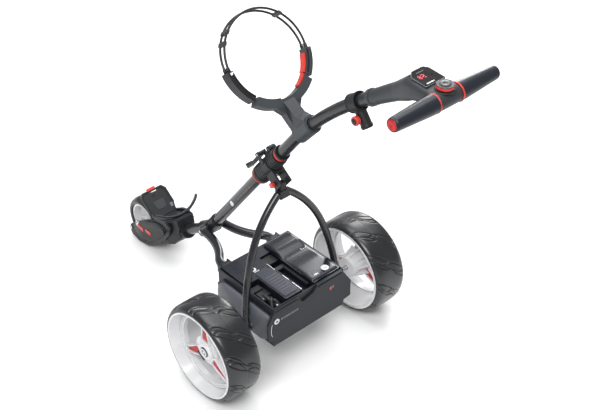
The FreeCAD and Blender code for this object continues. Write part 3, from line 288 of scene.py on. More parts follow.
def smooth_path(points, steps=8):
    """Points of a Catmull-Rom curve through the given ones."""
    result = []
    for index in range(len(points) - 1):
        a = points[max(index - 1, 0)]
        b, c = points[index], points[index + 1]
        d = points[min(index + 2, len(points) - 1)]
        for step in range(steps):
            t = step / steps
            result.append(0.5 * (2 * b + (c - a) * t + (2 * a - 5 * b + 4 * c - d) * t * t
                                 + (3 * b - 3 * c + d - a) * t * t * t))
    result.append(points[-1])
    return result


HOSE_SIDES = 14


def hose(name, points, radius, material, body, steps=8):
    """A round tube through points, its radius in mm."""
    path = smooth_path([Vector(p) for p in points], steps)
    rings = []
    for centre, (_, side, up) in zip(path, path_frames(path)):
        ring = []
        for step in range(HOSE_SIDES):
            angle = 2 * math.pi * step / HOSE_SIDES
            ring.append(centre + (side * math.cos(angle) + up * math.sin(angle)) * radius * MM)
        rings.append(ring)
    return skin(name, rings, material, body)


CORNER_STEPS = 5


def rounded(corners, radius):
    """An outline with its corners rounded."""
    result = []
    total = len(corners)
    for index in range(total):
        here = Vector(corners[index])
        back = Vector(corners[index - 1]) - here
        ahead = Vector(corners[(index + 1) % total]) - here
        reach = min(radius, back.length * 0.45, ahead.length * 0.45)
        start = here + back.normalized() * reach
        finish = here + ahead.normalized() * reach
        for step in range(CORNER_STEPS + 1):
            t = step / CORNER_STEPS
            result.append(start * (1 - t) ** 2 + here * 2 * t * (1 - t) + finish * t * t)
    return result


def prism(name, corners, low, high, place, material, body, round_by=0.0, edge=0.0):
    """A plate: an outline in the frame's xy, from low to high along its z, with softened edges."""
    outline = rounded(corners, round_by) if round_by else [Vector(c) for c in corners]
    rings = [[place.at(p.x, p.y, z) for p in outline] for z in (low, high)]
    piece = skin(name, rings, material, body)
    if edge:
        bevel(piece, edge)
    else:
        for face in piece.data.polygons:
            face.use_smooth = False
    return piece


def frame_ring(name, corners, inset, low, high, place, material, body, edge=0.5,
               round_by=2.0):
    """A raised rim that follows an outline."""
    outer = rounded(corners, round_by)
    centre = sum(outer, Vector((0, 0))) / len(outer)
    inner = [centre + (p - centre) * (1 - inset / max((p - centre).length, 1.0)) for p in outer]
    rings = []
    for outside, inside in zip(outer, inner):
        rings.append([place.at(outside.x, outside.y, low), place.at(outside.x, outside.y, high),
                      place.at(inside.x, inside.y, high), place.at(inside.x, inside.y, low)])
    piece = skin(name, rings, material, body, closed=True)
    return bevel(piece, edge, 2)


def finish_node(name, material, width=0.0, segments=3, angle=30):
    """A carried-over CAD piece: its material and softened edges."""
    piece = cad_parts[name]
    for index in range(len(piece.material_slots)):
        piece.material_slots[index].material = material
    if not piece.material_slots:
        piece.data.materials.append(material)
    for face in piece.data.polygons:
        face.use_smooth = True
    if width:
        bevel(piece, width, segments, angle)
    else:
        split = piece.modifiers.new("Split", "EDGE_SPLIT")
        split.split_angle = math.radians(angle)
    return piece


def box_piece(name, low, high, place, material, body, edge=1.0):
    """A block between two corners, with softened edges."""
    corners = [(low[0], low[1]), (high[0], low[1]), (high[0], high[1]), (low[0], high[1])]
    return prism(name, corners, low[2], high[2], place, material, body, edge=edge)


def disc(name, x, y, radius, place, material, body, low=0.0, high=0.8):
    """A round plate lying on a frame's xy plane."""
    soft = min(0.4, (high - low) / 2)
    profile = [(0.01, low), (radius, low), (radius, high - soft), (radius - soft, high), (0.01, high)]
    return turned(name, profile, place.moved(x, y), material, body, steps=48)


def band(name, radius, depth, start, finish, origin, along, material, body):
    """A thin ring round a tube."""
    up = Vector(along).cross(X_AXIS)
    place = Frame(origin + Vector(along) * start * MM, X_AXIS, up)
    if place.z.dot(along) < 0:
        place = Frame(place.o, X_AXIS, -up)
    length = finish - start
    soft = min(0.5, length / 3)
    profile = [(radius - depth, 0), (radius - soft, 0), (radius, soft), (radius, length - soft),
               (radius - soft, length), (radius - depth, length)]
    return turned(name, profile, place, material, body)


BOX_FACES = ((3, 2, 1, 0), (4, 5, 6, 7), (0, 1, 5, 4), (1, 2, 6, 5), (2, 3, 7, 6), (3, 0, 4, 7))


def bars(name, lengths, x, y, height, gap, place, material, body, thick=0.35):
    """A row of plain bars along the frame's x, as neutral printing."""
    mesh = bpy.data.meshes.new(name)
    work = bmesh.new()
    for length in lengths:
        corners = [place.at(a, b, c) for c in (0, thick)
                   for a, b in ((x, y), (x + length, y), (x + length, y + height), (x, y + height))]
        verts = [work.verts.new(corner) for corner in corners]
        for face in BOX_FACES:
            work.faces.new([verts[index] for index in face])
        x += length + gap
    work.to_mesh(mesh)
    work.free()
    return add_object(name, mesh, material, body, smooth=False)


def dome(name, corners, layers, place, material, body, round_by=8.0):
    """A bulging cover: an outline shrunk towards its middle, layer by layer (scale, height)."""
    outline = rounded(corners, round_by)
    centre = sum(outline, Vector((0, 0))) / len(outline)
    rings = []
    for scale, height in layers:
        ring = [centre + (p - centre) * scale for p in outline]
        rings.append([place.at(p.x, p.y, height) for p in ring])
    return skin(name, rings, material, body)


def arc_band(name, inner, outer, start, finish, low, high, place, material, body, steps=14,
             edge=0.8):
    """A piece of a flat ring between two angles, with softened edges."""
    outline = []
    for radius, turn in ((outer, range(steps + 1)), (inner, range(steps, -1, -1))):
        for step in turn:
            angle = math.radians(start + (finish - start) * step / steps)
            outline.append(Vector((radius * math.cos(angle), radius * math.sin(angle))))
    rings = [[place.at(p.x, p.y, z) for p in outline] for z in (low, high)]
    return bevel(skin(name, rings, material, body), edge, 3, 40)


WORLD = Frame(P(0, 0, 0), X_AXIS, Y_AXIS)


# ------------------------------------------------------------------ rear wheels
def tyre_radius(z):
    """The tyre's outer radius at a place across it, without its tread."""
    return 118.0 + 15.0 * max(0.0, 1 - (abs(z) / 49.25) ** 5) ** 0.5


LEAVES = 10
LEAF_LONG, LEAF_WIDE = 22.0, 9.5
LEAF_CENTRE, SECOND_LANE = 24.0, 17.0
GROOVE_DEPTH, GROOVE_HALF = 3.2, 2.4


def groove(around, z):
    """Depth of the tread at an arc length and a place across it: outlines of slanted leaves."""
    pitch = 2 * math.pi * TYRE_RADIUS / LEAVES
    depth = 0.0
    for row, shift in ((1, 0.0), (-1, 0.5)):
        v = (z * row - LEAF_CENTRE) / LEAF_LONG
        if abs(v) > 1.06:
            continue
        u = (around / pitch + shift) % 1.0 * pitch - pitch / 2
        u -= 19.0 * v * row - 6.0 * v * v
        for lane, wide in ((0.0, LEAF_WIDE), (SECOND_LANE, LEAF_WIDE * 0.55)):
            half = wide * max(0.0, 1 - v * v)
            gap = abs(abs(u - lane) - half)
            depth = max(depth, GROOVE_DEPTH * max(0.0, 1 - (gap / GROOVE_HALF) ** 2))
    seam = max(0.0, 1 - (abs(z) / 0.9) ** 2)
    return max(depth, 0.5 * seam)


def wheel_place(sign):
    """A frame at a rear wheel's middle, with z along the axle and away from the tray."""
    return Frame(P(sign * WHEEL_X, 0, WHEEL_Z), Y_AXIS * sign, Z_AXIS)


def rear_tyre(side, sign):
    """A tyre with its tread cut in, and a thin ring on its sidewall."""
    place = wheel_place(sign)
    steps = 600
    across = 84
    heights = [-49.0 + 98.0 * index / across for index in range(across + 1)]
    profile = [(tyre_radius(z), z) for z in heights]
    inside = [(118.9, 48.2), (118.9, 46.2), (117.0, 45.0), (116.4, 20), (116.4, -20), (117.0, -45.0),
              (118.9, -46.2), (118.9, -48.2)]
    rings = []
    for index in range(steps):
        angle = 2 * math.pi * index / steps
        around = angle * TYRE_RADIUS
        ring = []
        for r, z in profile:
            depth = groove(around, z)
            ring.append(place.at((r - depth) * math.cos(angle), (r - depth) * math.sin(angle), z))
        ring += [place.at(r * math.cos(angle), r * math.sin(angle), z) for r, z in inside]
        rings.append(ring)
    piece = skin(side + "_tread", rings, TYRE, "wheelset", closed=True)
    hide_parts(side + "_tyre")
    turned(side + "_sidewall_ring", [(119.6, 48.7), (120.6, 49.4), (121.6, 48.9), (120.6, 48.2)], place,
           TYRE, "wheelset", steps=120)


SPOKES, HUB_FINS = 3, 9


def wheel_trim(side, sign):
    """The rim's spokes, hub fins, collar and release, and a step in its dish."""
    place = wheel_place(sign)
    finish_node(side + "_rim", WHITE, 2.0, 3, 25)
    for index in range(SPOKES):
        angle = math.radians(90 + 360 // SPOKES * index)
        radial = place.x * math.cos(angle) + place.y * math.sin(angle)
        tangent = place.z.cross(radial)
        insert = [(33, -11.5), (60, -8.5), (85, -3.5), (87, 0), (85, 3.5), (60, 8.5), (33, 11.5),
                  (31, 0)]
        lip = [(27, -15.5), (60, -12.5), (90, -8.0), (94, 0), (90, 8.0), (60, 12.5), (27, 15.5),
               (25, 0)]
        for face, base, across in (("outer", 20, tangent), ("inner", 7, -tangent)):
            spoke = Frame(place.at(0, 0, base), radial, across)
            prism("%s_%s_red_%d" % (side, face, index), insert, -0.2, 0.9, spoke, DEEP_RED, "wheelset",
                  round_by=2.5, edge=0.4)
            frame_ring("%s_%s_lip_%d" % (side, face, index), lip, 4.0, -0.2, 4.6, spoke, WHITE,
                       "wheelset", edge=0.9, round_by=4)
    for index in range(HUB_FINS):
        angle = math.radians(10 + 360 // HUB_FINS * index)
        radial = place.x * math.cos(angle) + place.y * math.sin(angle)
        fin = Frame(place.at(0, 0, 0), radial, place.z)
        prism("%s_hub_fin_%d" % (side, index), [(27, 7.5), (46, 7.5), (40, -6), (31, -30), (27, -34)],
              -1.3, 1.3, fin, WHITE, "wheelset", edge=0.5)
    hub = Frame(place.at(0, 0, 0), place.x, place.y)
    turned(side + "_hub_collar", [(14.0, 20), (26.5, 20), (25.5, 25.5), (22.5, 28.0), (15.5, 28.8),
                                  (14.0, 27.6)], hub, WHITE, "wheelset")
    finish_node(side + "_wheel_release", CONSOLE, 0.8)
    turned(side + "_release_ring", [(7.0, 30.1), (11.2, 30.1), (11.0, 31.3), (7.4, 31.3)], hub, MARK,
           side + "_release", steps=48)
    turned(side + "_release_dot", [(0.2, 30.1), (4.0, 30.1), (3.6, 30.9), (0.2, 31.1)], hub, MARK,
           side + "_release", steps=36)
    key = Frame(place.at(0, 0, 22), place.x * math.cos(0.6) - place.y * math.sin(0.6),
                place.x * math.sin(0.6) + place.y * math.cos(0.6))
    box_piece(side + "_hub_key", (-14, -31, -1), (14, -25, 6), key, CASTING, "wheelset",
              1.2)
    turned(side + "_dish_step", [(99, 19.5), (101.5, 19.5), (101.5, 24.0), (99, 22.5)], hub, WHITE,
           "wheelset", steps=120)


for side, sign in (("left", -1), ("right", 1)):
    rear_tyre(side, sign)
    wheel_trim(side, sign)
finish_node("rear_axle", STEEL, 0.6)
for name in ("axle_gear", "layshaft_gear", "motor_rotor"):
    finish_node(name, DARK_STEEL)

# ------------------------------------------------------------------ tubes and struts
for name in ("main_tube", "front_tube", "upper_tube", "left_stay", "right_stay", "left_strut",
             "right_strut"):
    finish_node(name, GRAPHITE, 0.0, angle=40)
for name in ("junction_casting", "hinge_block", "hinge_knuckle", "strut_crown", "strut_lug",
             "accessory_clamp", "bag_base_plate", "fold_lever"):
    finish_node(name, CASTING, 1.6)
for name in ("front_axle", "pivot_pins", "frame_pins", "axle_bearings", "dial_stem"):
    finish_node(name, STEEL, 0.8)
for name in ("base_release_button", "strut_release", "strap_latch"):
    finish_node(name, RED, 1.0)
for name in ("left_side_cover", "right_side_cover"):
    finish_node(name, TRAY, 1.2)
for name in ("front_housing", "fork_covers"):
    finish_node(name, CASTING, 3.0)
for name in ("left_grip", "right_grip"):
    finish_node(name, GRIP, 2.0)
for name, material, width in (
        ("accessory_knob", RED, 1.5), ("tray", TRAY, 2.0), ("rear_panel", TRAY, 1.6),
        ("gearbox_case", DARK_STEEL, 1.5), ("motor_case", DARK_STEEL, 1.2),
        ("battery_case", SATIN, 1.5), ("battery_lid", SATIN, 2.0), ("battery_handle", CASTING, 1.6),
        ("battery_cells", WRAP, 0.8), ("battery_plug", CASTING, 1.5), ("power_cable", CORD, 0.0),
        ("front_rim", WHITE, 1.2), ("front_tyre", TYRE, 1.5), ("console_screen", SCREEN, 0.6),
        ("speed_dial", GRIP, 1.2), ("left_strap_buckle", CASTING, 1.6),
        ("right_strap_buckle", CONSOLE, 1.6)):
    finish_node(name, material, width)
finish_node("upper_bag_bracket", CONSOLE, 4.5, 4)

# ------------------------------------------------------------------ handle and console
NECK = [  # forward, height, half width, half height, slope of the section, squareness
    (-274, 873.5, 18.2, 18.2, 145, 2.0), (-296, 889, 18.6, 18.4, 147, 2.1),
    (-322, 906.5, 19.5, 19.5, 150, 2.3), (-345, 922, 21.5, 20.5, 154, 2.5),
    (-366, 937, 25.5, 24.5, 162, 2.8), (-384, 950, 29.5, 28.5, 170, 3.2),
    (-402, 957, 32.5, 24.5, 176, 3.6), (-424, 960.5, 33.8, 20.5, 180, 3.8),
    (-446, 961, 33.8, 18.9, 180, 3.6), (-466, 960.5, 33.0, 19.3, 180, 3.0),
    (-480, 961, 31.5, 14.0, 180, 2.6), (-486, 961, 29.5, 6.0, 180, 2.2)]


NECK_STEPS, NECK_SIDES = 6, 48


def neck_skin():
    """Rings of the neck's skin: each row of NECK is a squared oval, and the ones between are mixed."""
    rings = []
    for index in range(len(NECK) - 1):
        one, two = NECK[index], NECK[index + 1]
        for step in range(NECK_STEPS if index < len(NECK) - 2 else NECK_STEPS + 1):
            t = step / NECK_STEPS
            rings.append([a + (b - a) * t for a, b in zip(one, two)])
    shapes = []
    for y, z, wide, tall, slope, power in rings:
        normal = heading(slope - 90)
        ring = []
        for step in range(NECK_SIDES):
            angle = 2 * math.pi * step / NECK_SIDES
            c, s = math.cos(angle), math.sin(angle)
            x = wide * math.copysign(abs(c) ** (2 / power), c)
            lift = tall * math.copysign(abs(s) ** (2 / power), s)
            ring.append(P(x, y, z) + normal * lift * MM)
        shapes.append(ring)
    return shapes


neck = skin("handle_neck_skin", neck_skin(), CONSOLE, "handle_frame")
smooth = neck.modifiers.new("Smooth", "SMOOTH")
smooth.factor, smooth.iterations = 0.5, 6
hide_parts("handle_neck")
across_bar = Frame(P(0, HANDLE_Y, HANDLE_Z), Y_AXIS, Z_AXIS)
turned("handle_hub", [(9.9, -31.6), (19.9, -31.6), (20.1, -26), (20.2, 0), (20.1, 26), (19.9, 31.6),
                      (9.9, 31.6)], across_bar, CONSOLE, "handle_frame")
for x in (-31.9, 33.6):
    turned("handle_red_ring_%d" % x, [(19, x - 1.7), (21.2, x - 1.7), (21.7, x), (21.2, x + 1.7),
                                      (19, x + 1.7)], across_bar, RED, "handle_frame")
for side, sign in (("left", -1), ("right", 1)):
    end = Frame(P(sign * HANDLE_HALF, HANDLE_Y, HANDLE_Z), Y_AXIS * sign, Z_AXIS)
    turned(side + "_grip_cap", [(0.01, -1), (12.3, -1), (12.3, 0.5), (11.2, 1.6), (0.01, 2.2)], end,
           DEEP_RED, "handle_frame", steps=48)
    turned(side + "_grip_end", [(12.5, -3), (14.3, -3), (14.6, -0.4), (13.6, 1.2), (12.5, 0.8)], end,
           GRIP, "handle_frame", steps=48)

glass = [(-25, -438), (27, -438), (31, -392), (25, -381), (-6, -381), (-22, -396)]
prism("display_glass", glass, PANEL_TOP - 1.5, PANEL_TOP + 0.6, WORLD, SCREEN, "handle_frame",
      round_by=3, edge=0.5)
frame_ring("display_rim", [(x * 1.09, (y + 411) * 1.07 - 411) for x, y in glass], 2.4,
           PANEL_TOP - 1.5, PANEL_TOP + 1.0, WORLD, CONSOLE, "handle_frame", 0.6, 4)


def digit(name, x, y, high, wide, lit):
    """Seven-bar figure made of the bars whose numbers are lit."""
    t, half = high * 0.14, high / 2
    spots = ((0, high - t, wide, t), (0, half, t, half), (wide - t, half, t, half),
             (0, half - t / 2, wide, t), (0, 0, t, half), (wide - t, 0, t, half), (0, 0, wide, t))
    for number in lit:
        a, b, w, h = spots[number]
        bars("%s_%d" % (name, number), [w], x + a, y + b, h, 0, WORLD.moved(0, 0, PANEL_TOP + 0.6),
             SEGMENT, "handle_frame", 0.25)


digit("figure_tens", -13, -413, 13, 7.0, (0, 1, 2, 3, 4, 5, 6))
digit("figure_units", -3, -413, 13, 7.0, (0, 2, 3, 4, 6))
bars("display_line", [3, 3, 3, 3, 3], -4, -392, 1.6, 1.2, WORLD.moved(0, 0, PANEL_TOP + 0.6), DIM_MARK,
     "handle_frame", 0.2)
bars("display_foot", [5, 3, 6, 2], -16, -433, 3.0, 1.6, WORLD.moved(0, 0, PANEL_TOP + 0.6), MARK,
     "handle_frame", 0.2)
dial_place = Frame(P(0, DIAL_Y, 0), X_AXIS, Y_AXIS)
turned("dial_red_ring", [(15.4, 983.2), (18.5, 983.2), (18.9, 985.5), (18.2, 989.0), (17.2, 990.8),
                         (15.4, 990.4)], dial_place, RED, "dial")
turned("dial_face", [(0.01, 990), (11.6, 990), (11.6, 991.6), (10.8, 992.4), (0.01, 991.7)], dial_place,
       CONSOLE, "dial")
turned("dial_seat", [(12, 977.5), (21.4, 977.5), (21.2, 979.8), (19.8, 980.6), (12, 980.5)], dial_place,
       CASTING, "handle_frame")

# ------------------------------------------------------------------ hinge, tubes and clamp
band("hinge_low_ring", 24.7, 3.0, 351, 354.5, JUNCTION, MAIN_UP, RED, "frame")
band("hinge_collar", 25.0, 3.0, 356, 372, JUNCTION, MAIN_UP, CASTING, "frame")
for start in (378, 388, 398):
    band("hinge_rib_%d" % start, 24.8, 2.0, start, start + 4, JUNCTION, MAIN_UP, CASTING, "frame")
band("hinge_top_ring", 18.9, 3.6, 25.5, 34.5, UPPER_START, MAIN_UP, RED, "handle_frame")
band("hinge_top_lip", 20.2, 5.0, 35.0, 41.0, UPPER_START, MAIN_UP, CASTING, "handle_frame")
for start in (436, 446, 456):
    band("knuckle_rib_%d" % start, 22.6, 2.0, start, start + 5, JUNCTION, MAIN_UP, CASTING,
         "handle_frame")
facing = Frame(on_main(179, -1.5, -14.6), -MAIN_UP, MAIN_OFF)
disc("tube_badge", 0, 0, 7.2, facing, MARK, "frame", -0.6, 0.7)
disc("tube_badge_eye", 0, 0, 3.2, facing, CASTING, "frame", 0.4, 0.95)
bars("tube_marks", [7, 5, 9, 6, 8, 5, 7], -103, -3.6, 6.2, 3.4, facing, DIM_MARK, "frame", 0.45)
bars("tube_red_mark", [9], -118, -3.6, 6.2, 3.4, facing, RED, "frame", 0.5)
clamp, clamp_up = on_upper(CLAMP_RUN)
clamp_down = Vector((0, -clamp_up.z, clamp_up.y))
knob = clamp + clamp_down * 35 * MM
knob_face = Frame(knob + X_AXIS * -26.8 * MM, Z_AXIS, Y_AXIS)
turned("knob_red_ring", [(8.0, -4.5), (10.9, -4.5), (11.1, -2.6), (10.5, -1.2), (8.0, -1.0)], knob_face,
       RED, "knob", steps=48)
turned("knob_cap", [(0.01, -1), (7.6, -1), (7.0, 1.4), (0.01, 2.2)], knob_face, CASTING, "knob",
       steps=48)
band("clamp_lip_low", 22.0, 4.0, -16, -12, clamp, clamp_up, CASTING, "handle_frame")
band("clamp_lip_high", 22.0, 4.0, 12, 16, clamp, clamp_up, CASTING, "handle_frame")
band("boss_ring", 14.0, 3.0, 52, 57, clamp, clamp_down, CASTING, "handle_frame")
band("neck_collar", 19.6, 4.0, 34, 44, TAIL_START, TAIL_UP, CONSOLE, "handle_frame")

# ------------------------------------------------------------------ bag ring
ring_place = BAG.moved(0, RING_Y)
arc_band("arm_red_strip", RING - 11.5, RING - 6.2, 296, 316, -7, 7, ring_place, RED, "handle_frame")
arc_band("arm_left_pad", RING - 9.5, RING - 6.2, 229, 262, -9, 9, ring_place, GRIP, "handle_frame")
for low, high in ((14, 15.6), (-15.6, -14)):
    for inner, outer in ((RING - 5.5, RING - 1.5), (RING + 5.0, RING + 8.6)):
        arc_band("buckle_rail_%d_%d" % (low, inner), inner, outer, 183, 222, low, high, ring_place,
                 CASTING, "handle_frame", edge=0.5)
# Near-black strips in the left buckle's slots: painted shade.
for index in range(8):
    angle = 186.5 + 4.4 * index
    arc_band("buckle_slot_%d" % index, RING - 1.0, RING + 4.6, angle, angle + 2.6, 13.7, 14.5,
             ring_place, RECESS_SHADE, "handle_frame", steps=3, edge=0.2)
arc_band("buckle_glint", RING - 4.5, RING + 3.5, 181.6, 184.6, 14.0, 15.2, ring_place, MARK,
         "handle_frame", steps=3, edge=0.4)
arc_band("right_buckle_inset", RING + 0.5, RING + 8.4, 318, 348, 14.0, 15.2, ring_place, CONSOLE,
         "handle_frame", edge=0.6)
# A near-black strip along the right buckle's inner side: painted shade.
arc_band("right_buckle_dark", RING - 5.4, RING - 0.4, 318, 348, 13.8, 14.6, ring_place, RECESS_SHADE,
         "handle_frame", edge=0.3)
CORD_RADIUS, CORD_ENDS = 2.9, (-9.6, 180.6)


def cord_gap(angle):
    """Half the space between the two cords of the strap: they bow apart between the buckles."""
    share = (angle - CORD_ENDS[0]) / (CORD_ENDS[1] - CORD_ENDS[0])
    return 7.5 + 4.5 * math.sin(math.pi * share) ** 0.8


def cord_point(angle, side):
    turn = math.radians(angle)
    return ring_place.at(RING * math.cos(turn), RING * math.sin(turn), side * cord_gap(angle))


strap_pieces = []
cord_angles = [CORD_ENDS[0] + (CORD_ENDS[1] - CORD_ENDS[0]) * index / 40 for index in range(41)]
for side, name in ((-1, "strap_cord_front"), (1, "strap_cord_rear")):
    strap_pieces.append(hose(name, [cord_point(angle, side) for angle in cord_angles], CORD_RADIUS,
                             CORD, "handle_frame", steps=4))
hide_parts("bag_strap")
for name, angle in (("right", 45.0), ("top", 131.0), ("left", 146.0)):
    reach = cord_gap(angle) + 3.6
    strap_pieces.append(arc_band("cord_slider_" + name, RING - 3.9, RING + 3.9, angle - 2.6,
                                 angle + 2.6, -reach, reach, ring_place, CONSOLE, "handle_frame",
                                 steps=4, edge=1.0))
for side in (-1, 1):
    for end, angle in (("left", 178.5), ("right", -8.0)):
        spot = cord_point(angle, side)
        along = (cord_point(angle + 1, side) - spot).normalized()
        seat = Frame(spot, ring_place.z, ring_place.z.cross(along))
        strap_pieces.append(turned("cord_ferrule_%s_%d" % (end, side + 1),
                                   [(2.5, -7), (4.4, -7), (4.4, 6), (3.6, 8), (2.5, 8)], seat,
                                   CASTING, "handle_frame", steps=24))
for piece in strap_pieces:
    tuple(ring_place.at(0, -28))
    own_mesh(piece)

# ------------------------------------------------------------------ front
FRONT_WALL_X, TRAY_WALL_X, REAR_FACE_Y = 43.5, 122.2, -84.2
cradle = Frame(on_main(-120, 192), X_AXIS, MAIN_OFF)
CRADLE_STEPS, CRADLE_START, CRADLE_SWEEP, CRADLE_RADIUS = 32, 223, 94, 104
cradle_rings = []
for index in range(CRADLE_STEPS + 1):
    share = index / CRADLE_STEPS
    angle = math.radians(CRADLE_START + CRADLE_SWEEP * share)
    reach = abs(2 * share - 1)
    wide = 8.0 + 4.6 * max(0.0, 1 - ((reach - 0.82) / 0.30) ** 2)
    wide *= max(0.30, 1 - max(0.0, (reach - 0.86) / 0.14) ** 3 * 0.7)
    thick = 5.0 - 1.6 * reach
    ring = []
    for step in range(24):
        turn = 2 * math.pi * step / 24
        radius = CRADLE_RADIUS + thick * math.copysign(abs(math.cos(turn)) ** 0.75, math.cos(turn))
        ring.append(cradle.at(radius * math.cos(angle), radius * math.sin(angle),
                              wide * math.copysign(abs(math.sin(turn)) ** 0.75, math.sin(turn))))
    cradle_rings.append(ring)
paddle = skin("cradle_paddle", cradle_rings, GRIP, "frame")
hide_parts("bag_cradle")
plate = Frame(on_main(-190, 0), X_AXIS, MAIN_OFF)
frame_ring("plate_rim", [(-34, 120), (34, 120), (41, 148), (41, 190), (31, 203), (-31, 203), (-41, 190),
                         (-41, 148)], 4.5, -0.5, 2.0, plate, CASTING, "frame", 0.7, 5)
box_piece("plate_label", (26, 134, 0), (38, 146, 0.7), plate, DIM_MARK, "frame", 0.2)
# A near-black patch in the plate's slot: painted shade.
prism("plate_slot", [(-9, 181), (1, 181), (1, 190), (-9, 190)], -0.2, 0.5, plate, RECESS_SHADE, "frame",
      round_by=3, edge=0.2)
prism("plate_badge", [(-14, 142), (14, 142), (18, 168), (-18, 168)], -0.2, 0.8, plate, CONSOLE, "frame",
      round_by=5, edge=0.4)
for side, sign in (("left", -1), ("right", 1)):
    wall = Frame(P(sign * FRONT_WALL_X, 0, 0), Y_AXIS * sign, Z_AXIS)
    # Near-black patches in the cover's slots: painted shade.
    for index, (y, z, long) in enumerate(((521, 121, 22), (461, 122, 20), (571, 27, 20))):
        tilt = heading(-34)
        slot_place = Frame(wall.at(y * sign, z), Vector((0, tilt.y, tilt.z)) * sign,
                           heading(56))
        prism("%s_cover_slot_%d" % (side, index), [(-long / 2, -3), (long / 2, -3), (long / 2, 3),
                                                   (-long / 2, 3)], -0.2, 0.5, slot_place, RECESS_SHADE,
              "frame", round_by=3, edge=0.2)
    dome(side + "_cover_bulge", [(sign * y, z) for y, z in ((600, 20), (628, 42), (618, 66), (560, 104),
         (500, 130), (466, 128), (470, 104), (500, 70), (548, 34))][::sign],
         ((1, -0.5), (0.985, 2.2), (0.93, 4.0), (0.6, 5.2)), wall, CASTING, "frame",
         12)
    prism(side + "_cover_red", [(sign * y, z) for y, z in ((572, 56), (600, 60), (598, 72), (572, 70))],
          4.2, 6.4, wall, RED, "frame", round_by=3, edge=0.5)
    prism(side + "_cover_red_low", [(sign * y, z) for y, z in ((536, 62), (562, 66), (560, 76),
          (536, 74))], 4.4, 6.6, wall, RED, "frame", round_by=3, edge=0.5)
    disc(side + "_cover_bolt", sign * 600, 71, 5.0, wall, STEEL, "frame", 5.0, 8.0)
    disc(side + "_cover_stud", sign * 641, 34, 6.0, wall, STEEL, "frame", -0.5, 4.0)
    disc(side + "_cover_cap", sign * 478, 112, 9.0, wall, CASTING, "frame", 3.0, 6.5)

# ------------------------------------------------------------------ battery and tray
def lid_lift(y):
    """Height of the right pad above the lid: a hump in front, a scoop behind it, a flat rear."""
    def ease(low, high):
        t = min(1.0, max(0.0, (y - low) / (high - low)))
        return t * t * (3 - 2 * t)

    hump = 10.5 * ease(42, 82) * (1 - 0.45 * ease(100, 128))
    rear = 3.2 * (1 - ease(-6, 34))
    return 0.9 + hump + rear


PAD_REAR, PAD_FRONT, PAD_RIGHT, PAD_LOW_Z = -70.5, 126.0, 109.5, 230.6
PAD_ROWS, PAD_COLUMNS, PAD_EDGE = 40, 24, 5.0
pad_rows = []
for row in range(PAD_ROWS + 1):
    y = PAD_REAR + (PAD_FRONT - PAD_REAR) * row / PAD_ROWS
    sway = 3.0 * math.sin((y + 20) / 32.0)
    low_x = 23.0 + min(0.0, sway) * (1 if y < 95 else 0.4)
    columns = []
    for column in range(PAD_COLUMNS + 1):
        x = low_x + (PAD_RIGHT - low_x) * column / PAD_COLUMNS
        near = min(x - low_x, PAD_RIGHT - x, y - PAD_REAR + 0.001, PAD_FRONT - y + 0.001)
        soft = min(1.0, max(0.0, near / PAD_EDGE))
        columns.append(P(x, y, PAD_LOW_Z + lid_lift(y) * math.sin(soft * math.pi / 2) ** 0.7))
    pad_rows.append(columns)
pad_mesh = bpy.data.meshes.new("battery_pad")
pad_work = bmesh.new()
grid = [[pad_work.verts.new(point) for point in row] for row in pad_rows]
for row in range(len(grid) - 1):
    for column in range(len(grid[0]) - 1):
        pad_work.faces.new((grid[row][column], grid[row][column + 1], grid[row + 1][column + 1],
                            grid[row + 1][column]))
pad_work.to_mesh(pad_mesh)
pad_work.free()
pad = add_object("battery_pad", pad_mesh, SATIN, "battery")
body_of_pad = pad.modifiers.new("Body", "SOLIDIFY")
body_of_pad.thickness, body_of_pad.offset = 1.2 * MM, -1.0

PAD_TOP = Frame(P(0, 0, 234.55), X_AXIS, Y_AXIS)
disc("pad_button", 80, -50, 10.5, PAD_TOP, WHITE, "battery", -0.6, 0.9)
frame_ring("pad_sticker", [(30, -62), (64, -62), (64, -46), (30, -46)], 1.3, -0.3, 0.35, PAD_TOP,
           DIM_MARK, "battery", 0.1, 5)
bars("pad_marks", [2.2, 5.0, 2.2], 40, -57, 5.5, 1.6, PAD_TOP, MARK, "battery", 0.3)
frame_ring("pad_oval", [(86, 44), (104, 44), (104, 54), (86, 54)], 1.4, -0.6, 0.5,
           Frame(P(0, 0, 232.4), X_AXIS, Y_AXIS), MARK, "battery", 0.1, 4.5)

LID_TOP = Frame(P(0, 0, 231.0), X_AXIS, Y_AXIS)
prism("label_panel", [(-66, -64), (-23, -64), (-21, 40), (-30, 56), (-66, 50)], -0.2, 1.5, LID_TOP,
      PANEL, "battery", round_by=5, edge=0.8)
LABEL_TOP = Frame(P(0, 0, 232.5), X_AXIS, Y_AXIS)
LABEL_LINES = 7
for index in range(LABEL_LINES):
    bars("label_line_%d" % index, [5, 9, 4, 7], -58 + index % 2, 18 - 10 * index, 1.3, 1.6, LABEL_TOP,
         DIM_MARK, "battery", 0.15)
disc("lid_badge", -58, 68, 8.0, LID_TOP, WHITE, "battery", -0.4, 0.9)
disc("lid_badge_eye", -58, 68, 3.4, LID_TOP, CASTING, "battery", 0.6, 1.15)
bars("lid_marks", [4, 3, 5], -62, 56, 2.6, 1.4, LID_TOP, MARK, "battery", 0.5)
# Bright steel strips along the channel's left edge: painted highlight lines.
for index, (low, high) in enumerate(((-70, -34), (-22, 2), (30, 62))):
    box_piece("channel_edge_highlight_%d" % index, (-18.4, low, 0.1), (-16.2, high, 0.9), LID_TOP, STEEL,
              "battery", 0.3)
prism("channel_step", [(-14, 60), (20, 60), (20, 93), (-14, 93)], -14, -5, LID_TOP, CASTING, "battery",
      round_by=4, edge=1.5)

